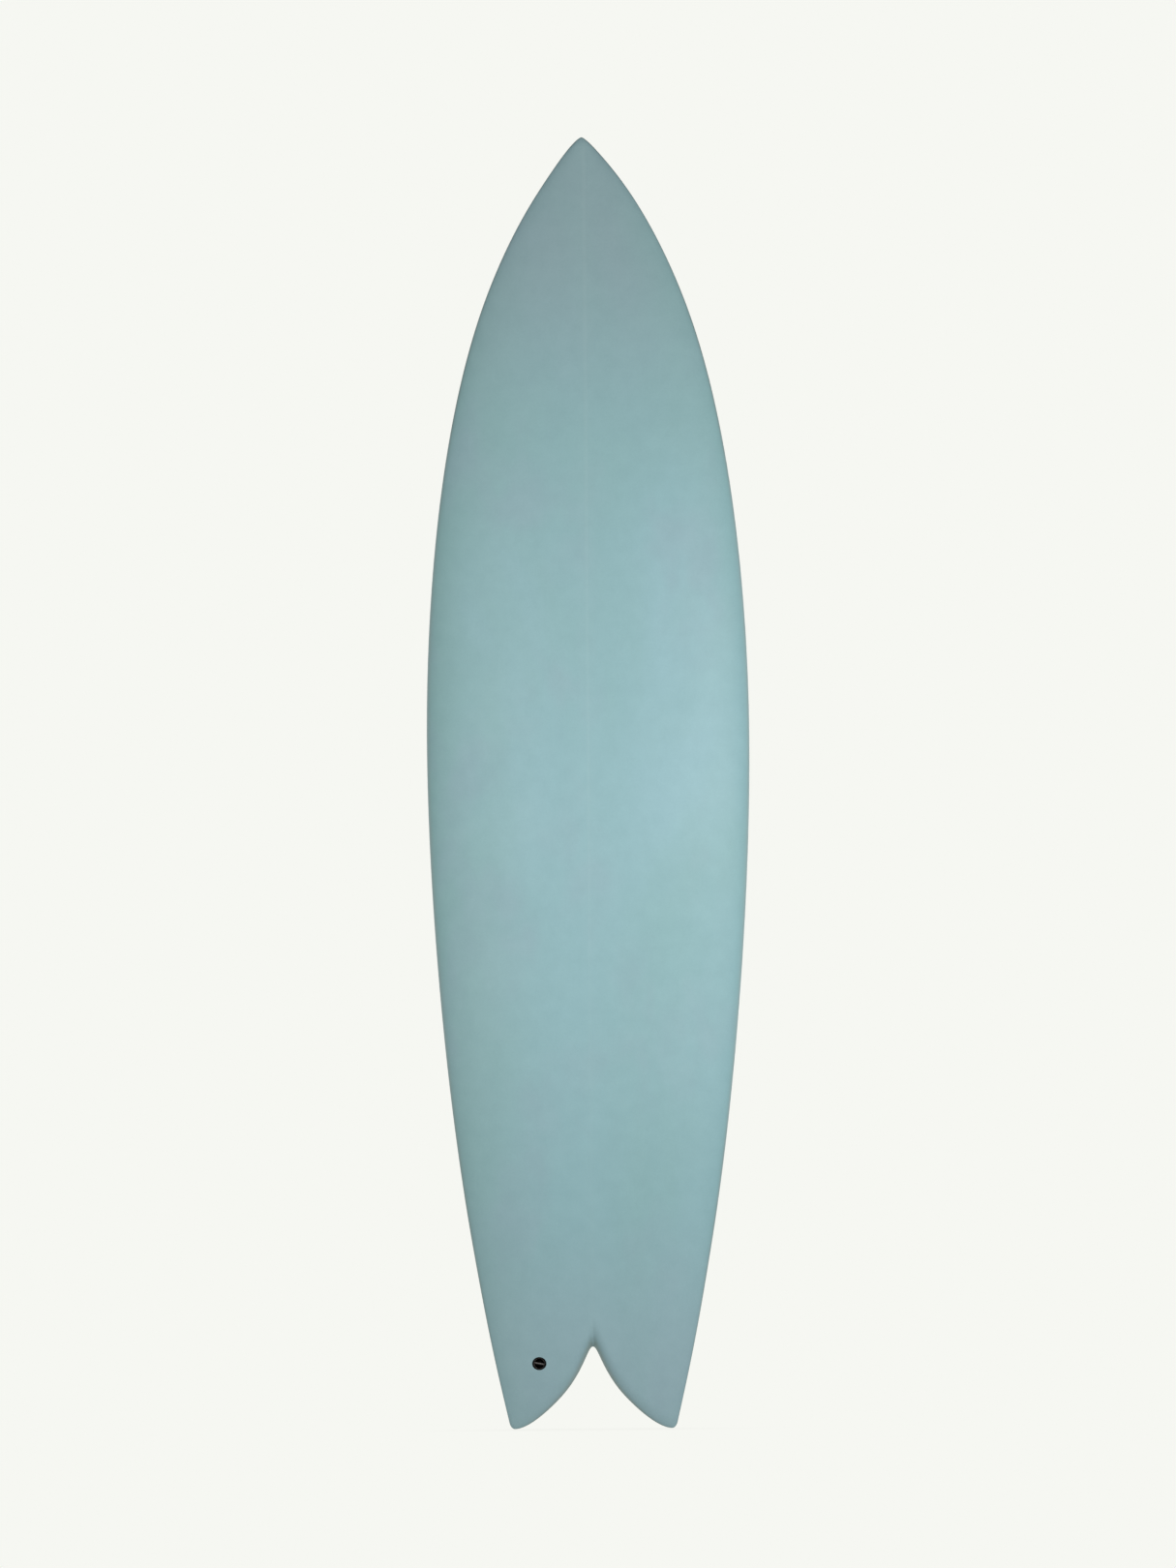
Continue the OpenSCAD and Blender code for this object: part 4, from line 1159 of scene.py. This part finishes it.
def keel_base(side):
    """The foil's root section flared by a small fillet, its underside following the rocker."""
    place = keel_frame(side)
    rings = []
    for q in (0.0, 0.1, 0.25, 0.45, 0.7, 1.0):
        ring = []
        for x, y in keel_section(4 + 3.9 * q, side, grow=1.1 * (1 - q) ** 3.0):
            low = bottom_height(place, x, y) + 0.32
            ring.append((x, y, low + (BASE_H - low) * q))
        rings.append(ring)
    base = loft(f"keel_base_{SIDES[side]}_laminate", rings)
    tabs = []
    for end in ENDS:
        y = end * TAB_PITCH / 2
        tab = block((-TAB_W / 2, y - TAB_L / 2, -TAB_D), (TAB_W / 2, y + TAB_L / 2, 3))
        bevel(tab, 0.0007)
        tabs.append(tab)
    cut(base, tabs, "UNION")
    sharpen(base, 40)
    settle(base, place)
    hand_over(base, LAMINATE_MAT, f"keel_{SIDES[side]}", "keel_base",
              f"keel_base_{SIDES[side]}")


for side in SIDES:
    keel_blade(side)
    keel_base(side)

# ======================================================================================
# foam halves, stringer and deck patch, under the skin
# ======================================================================================
CORE = {"inset": 1.3, "deck_inset": 1.3, "bottom_inset": 1.0, "patch_inset": 0.45}
PATCH_UNDER = 1.66  # deck inset of the cloth patch's underside


def foam_half(side):
    rows = rows_for(30, 44, 56)[3:]
    # leave out the columns over the stringer
    X, Z, deck_y, under_y = [g[:, len(CENTRE_COLUMNS):]
                             for g in surfaces(rows, columns_for(26), **CORE)]
    row_count, count = X.shape
    verts = []
    deck = np.zeros((row_count, count), int)
    bottom = deck.copy()
    for i in range(row_count):
        for j in range(count):
            verts.append((side * X[i, j], deck_y[i, j], Z[i, j]))
            deck[i, j] = bottom[i, j] = len(verts) - 1
            if j < count - 1 and i < row_count - 1:
                verts.append((side * X[i, j], under_y[i, j], Z[i, j]))
                bottom[i, j] = len(verts) - 1
    faces = []
    for i in range(row_count - 1):
        for j in range(count - 1):
            for grid, is_deck in ((deck, True), (bottom, False)):
                if i == row_count - 2 and j == count - 2:
                    p, q, r, s = quad(grid, i, j)
                    faces += [(p, q, r), (p, r, s)]
                else:
                    faces.append(quad(grid, i, j, is_deck))
    # the nose end, then the side against the stringer
    faces += [without_repeats((deck[0, j + 1], deck[0, j], bottom[0, j], bottom[0, j + 1]))
              for j in range(count - 1)]
    faces += [without_repeats((deck[i, 0], deck[i + 1, 0], bottom[i + 1, 0], bottom[i, 0]))
              for i in range(row_count - 1)]
    foam = mesh_obj(f"foam_half_{SIDES[side]}", verts, faces, smooth=False)
    shape_nose(foam)
    fix_normals(foam)
    tools = [rod(plug_frame(side, end), PLUG_R + 0.1, -PLUG_D - 0.1, 14) for end in ENDS]
    if side < 0:
        tools.append(rod(leash_frame, CUP_R + 0.1, -CUP_D - 0.1, 14))
    cut(foam, tools)
    hand_over(foam, FOAM_MAT, "board", "blank_foam", f"foam_blank_{SIDES[side]}")


def centre_strip():
    rows = rows_for(30, 60, 60)[2:]
    _, Z, deck_y, under_y = surfaces(rows, columns_for(4), **CORE)
    count = len(rows)
    deck = [(deck_y[i, 0], Z[i, 0]) for i in range(count)]
    bottom = [(under_y[i, 0], Z[i, 0]) for i in range(count - 1)]
    verts = [(x, y, z) for x in (-STRINGER_HALF, STRINGER_HALF) for y, z in deck + bottom]
    side_count = len(deck) + len(bottom)
    faces = []
    for start, direction in ((0, 1), (side_count, -1)):
        for i in range(count - 1):
            a, b = start + i, start + count + i
            # deck and bottom meet in the last deck point
            face = (a, a + 1, b + 1, b) if i < count - 2 else (a, a + 1, b)
            faces.append(face[::direction])
    loop = list(range(count)) + [count + i for i in range(count - 2, -1, -1)]
    for a, b in zip(loop, loop[1:] + loop[:1]):
        faces.append((a, b, side_count + b, side_count + a))
    strip = mesh_obj("centre_strip", verts, faces, smooth=False)
    shape_nose(strip)
    fix_normals(strip)
    hand_over(strip, STRINGER_MAT, "board", "stringer_wood", "stringer")


def patch_cloth():
    """A thin cloth layer under the deck glass over the tail."""
    rows = [row for row in rows_for(4, 4, 56) if row[0] == "tail"]
    columns = columns_for(26)
    inset, bottom_inset = CORE["inset"], CORE["bottom_inset"]
    X, Z, top_y, _ = surfaces(rows, columns, inset, CORE["deck_inset"], bottom_inset)
    under_y = surfaces(rows, columns, inset, PATCH_UNDER, bottom_inset)[2]
    # stop short of the tail's end and the rails
    row_count, half_count = X.shape[0] - 5, X.shape[1] - 3
    across = mirrored(half_count)
    verts = [(sign * X[i, j], Y[i, j], Z[i, j])
             for Y in (top_y, under_y) for i in range(row_count) for sign, j in across]
    layer = row_count * len(across)
    top = np.arange(layer).reshape(row_count, len(across))
    faces = []
    for i in range(row_count - 1):
        for j in range(len(across) - 1):
            faces.append(quad(top, i, j))
            faces.append(quad(top + layer, i, j, False))
    border = np.concatenate([top[0], top[1:, -1], top[-1, -2::-1], top[-2:0:-1, 0]])
    for a, b in zip(border, np.roll(border, -1)):
        faces.append((a, layer + a, layer + b, b))
    patch = mesh_obj("patch_cloth", verts, faces, smooth=False)
    fix_normals(patch)
    cut(patch, [rod(leash_frame, CUP_R + 0.1, -12, 12)])
    hand_over(patch, CLOTH_MAT, "board", "patch_cloth", "deck_patch")


for side in SIDES:
    foam_half(side)
centre_strip()
patch_cloth()

# ======================================================================================
# stage, lights and camera, in metres
# ======================================================================================
BACKDROP = (*srgb(246, 247, 242), 1)
scene = bpy.context.scene
scene.view_settings.view_transform = "Standard"
scene.view_settings.look = "None"
scene.view_settings.exposure = 0
scene.view_settings.gamma = 1


def mat_floor():
    """Glowing backdrop colour with a painted contact shadow near the board, dimmer to all but the
    camera.
    """
    n = Nodes("pale_floor")
    p = n.coord()
    # painted contact shadow: the glow dims where the board is near
    ao = n.new("AmbientOcclusion", {"Distance": 0.22, "Color": (1, 1, 1, 1)}, samples=8)
    open_sky = n.math("POWER", ao.outputs["AO"], 0.9)
    shade = n.remap(open_sky, span=(0.0, 1.0), to=(0.84, 1.0), smooth=False)
    grain = n.remap(n.noise(p, scale=400.0), to=(0.997, 1.003), smooth=False)
    is_camera = n.new("LightPath").outputs["Is Camera Ray"]
    seen = n.remap(is_camera, span=(0.0, 1.0), to=(0.54, 1.0), smooth=False)
    glow = n.new("Emission", {"Color": BACKDROP, "Strength": n.times(shade, grain, seen)})
    n.tree.links.new(glow.outputs[0], n.out.inputs[0])
    return n.mat


def studio_floor():
    """A disc of rings just below the tail tips."""
    count = 96
    radii = [0.5, 1.0, 2.0, 4.0, 8.0, 20.0, 80.0]
    angles = [2 * math.pi * i / count for i in range(count)]
    verts = [(0, 0, 0)] + [(r * math.cos(a), r * math.sin(a), 0) for r in radii for a in angles]
    faces = [(0, 1 + i, 1 + (i + 1) % count) for i in range(count)]
    for ring in range(len(radii) - 1):
        start = 1 + ring * count
        for i in range(count):
            a, b = start + i, start + (i + 1) % count
            faces.append((a, a + count, b + count, b))
    floor = mesh_obj("studio_floor", verts, faces, 1.0, False)
    floor.location = (0, 0, -0.0015)
    paint(floor, mat_floor())


def studio_world():
    """The backdrop colour to the camera, a dim cool light to everything else."""
    world = bpy.data.worlds.new("studio")
    scene.world = world
    world.use_nodes = True
    nodes, links = world.node_tree.nodes, world.node_tree.links
    nodes.clear()
    out = nodes.new("ShaderNodeOutputWorld")
    mix = nodes.new("ShaderNodeMixShader")
    light_path = nodes.new("ShaderNodeLightPath")
    backdrop = nodes.new("ShaderNodeBackground")
    backdrop.inputs["Color"].default_value = BACKDROP
    ambient = nodes.new("ShaderNodeBackground")
    ambient.inputs["Color"].default_value = (0.93, 0.97, 1.0, 1)
    ambient.inputs["Strength"].default_value = 0.33
    links.new(light_path.outputs["Is Camera Ray"], mix.inputs[0])
    links.new(ambient.outputs[0], mix.inputs[1])
    links.new(backdrop.outputs[0], mix.inputs[2])
    links.new(mix.outputs[0], out.inputs[0])


def area_light(name, azimuth, distance, height, aim, size, power, color=(1, 1, 1)):
    """Azimuth 0 is in front of the deck, positive to the right; aim is a height on the axis."""
    data = bpy.data.lights.new(name, "AREA")
    data.shape, data.energy, data.color = "RECTANGLE", power, color
    data.size, data.size_y = size
    light = bpy.data.objects.new(name, data)
    scene.collection.objects.link(light)
    angle = math.radians(azimuth)
    place = Vector((distance * math.sin(angle), -distance * math.cos(angle), height))
    light.location = place
    light.rotation_mode = "QUATERNION"
    light.rotation_quaternion = (Vector((0, 0, aim)) - place).to_track_quat("-Z", "Y")
    light.visible_camera = False


def camera():
    """A very long lens level with the board's middle, facing the deck."""
    distance = 90.0
    view_span = 2591.514 * MM  # covered by the longer side of the frame
    view_x, view_z, roll_angle = -0.8, 1065.4002, -0.46  # mm, mm, degrees
    data = bpy.data.cameras.new("camera")
    data.sensor_width = 36
    data.lens = 36 * distance / view_span
    data.clip_end = 400
    cam = bpy.data.objects.new("camera", data)
    scene.collection.objects.link(cam)
    place = Matrix.Translation((view_x * MM, -distance - 0.05, view_z * MM))
    cam.matrix_world = place @ turn("X", 90) @ turn("Z", roll_angle)
    scene.camera = cam


studio_floor()
studio_world()
area_light("key", azimuth=35, distance=1.5, height=0.99, aim=1.04, size=(0.9, 0.9), power=8.9)
area_light("fill", azimuth=-14, distance=1.5, height=0.99, aim=1.04, size=(0.9, 0.9), power=5.8)
area_light("back", azimuth=160, distance=2.2, height=1.1, aim=1.05, size=(1.4, 1.6), power=30)
area_light("back fill", azimuth=208, distance=2.2, height=1.0, aim=1.0, size=(1.4, 1.6),
           power=10, color=(1.0, 0.95, 0.91))
camera()
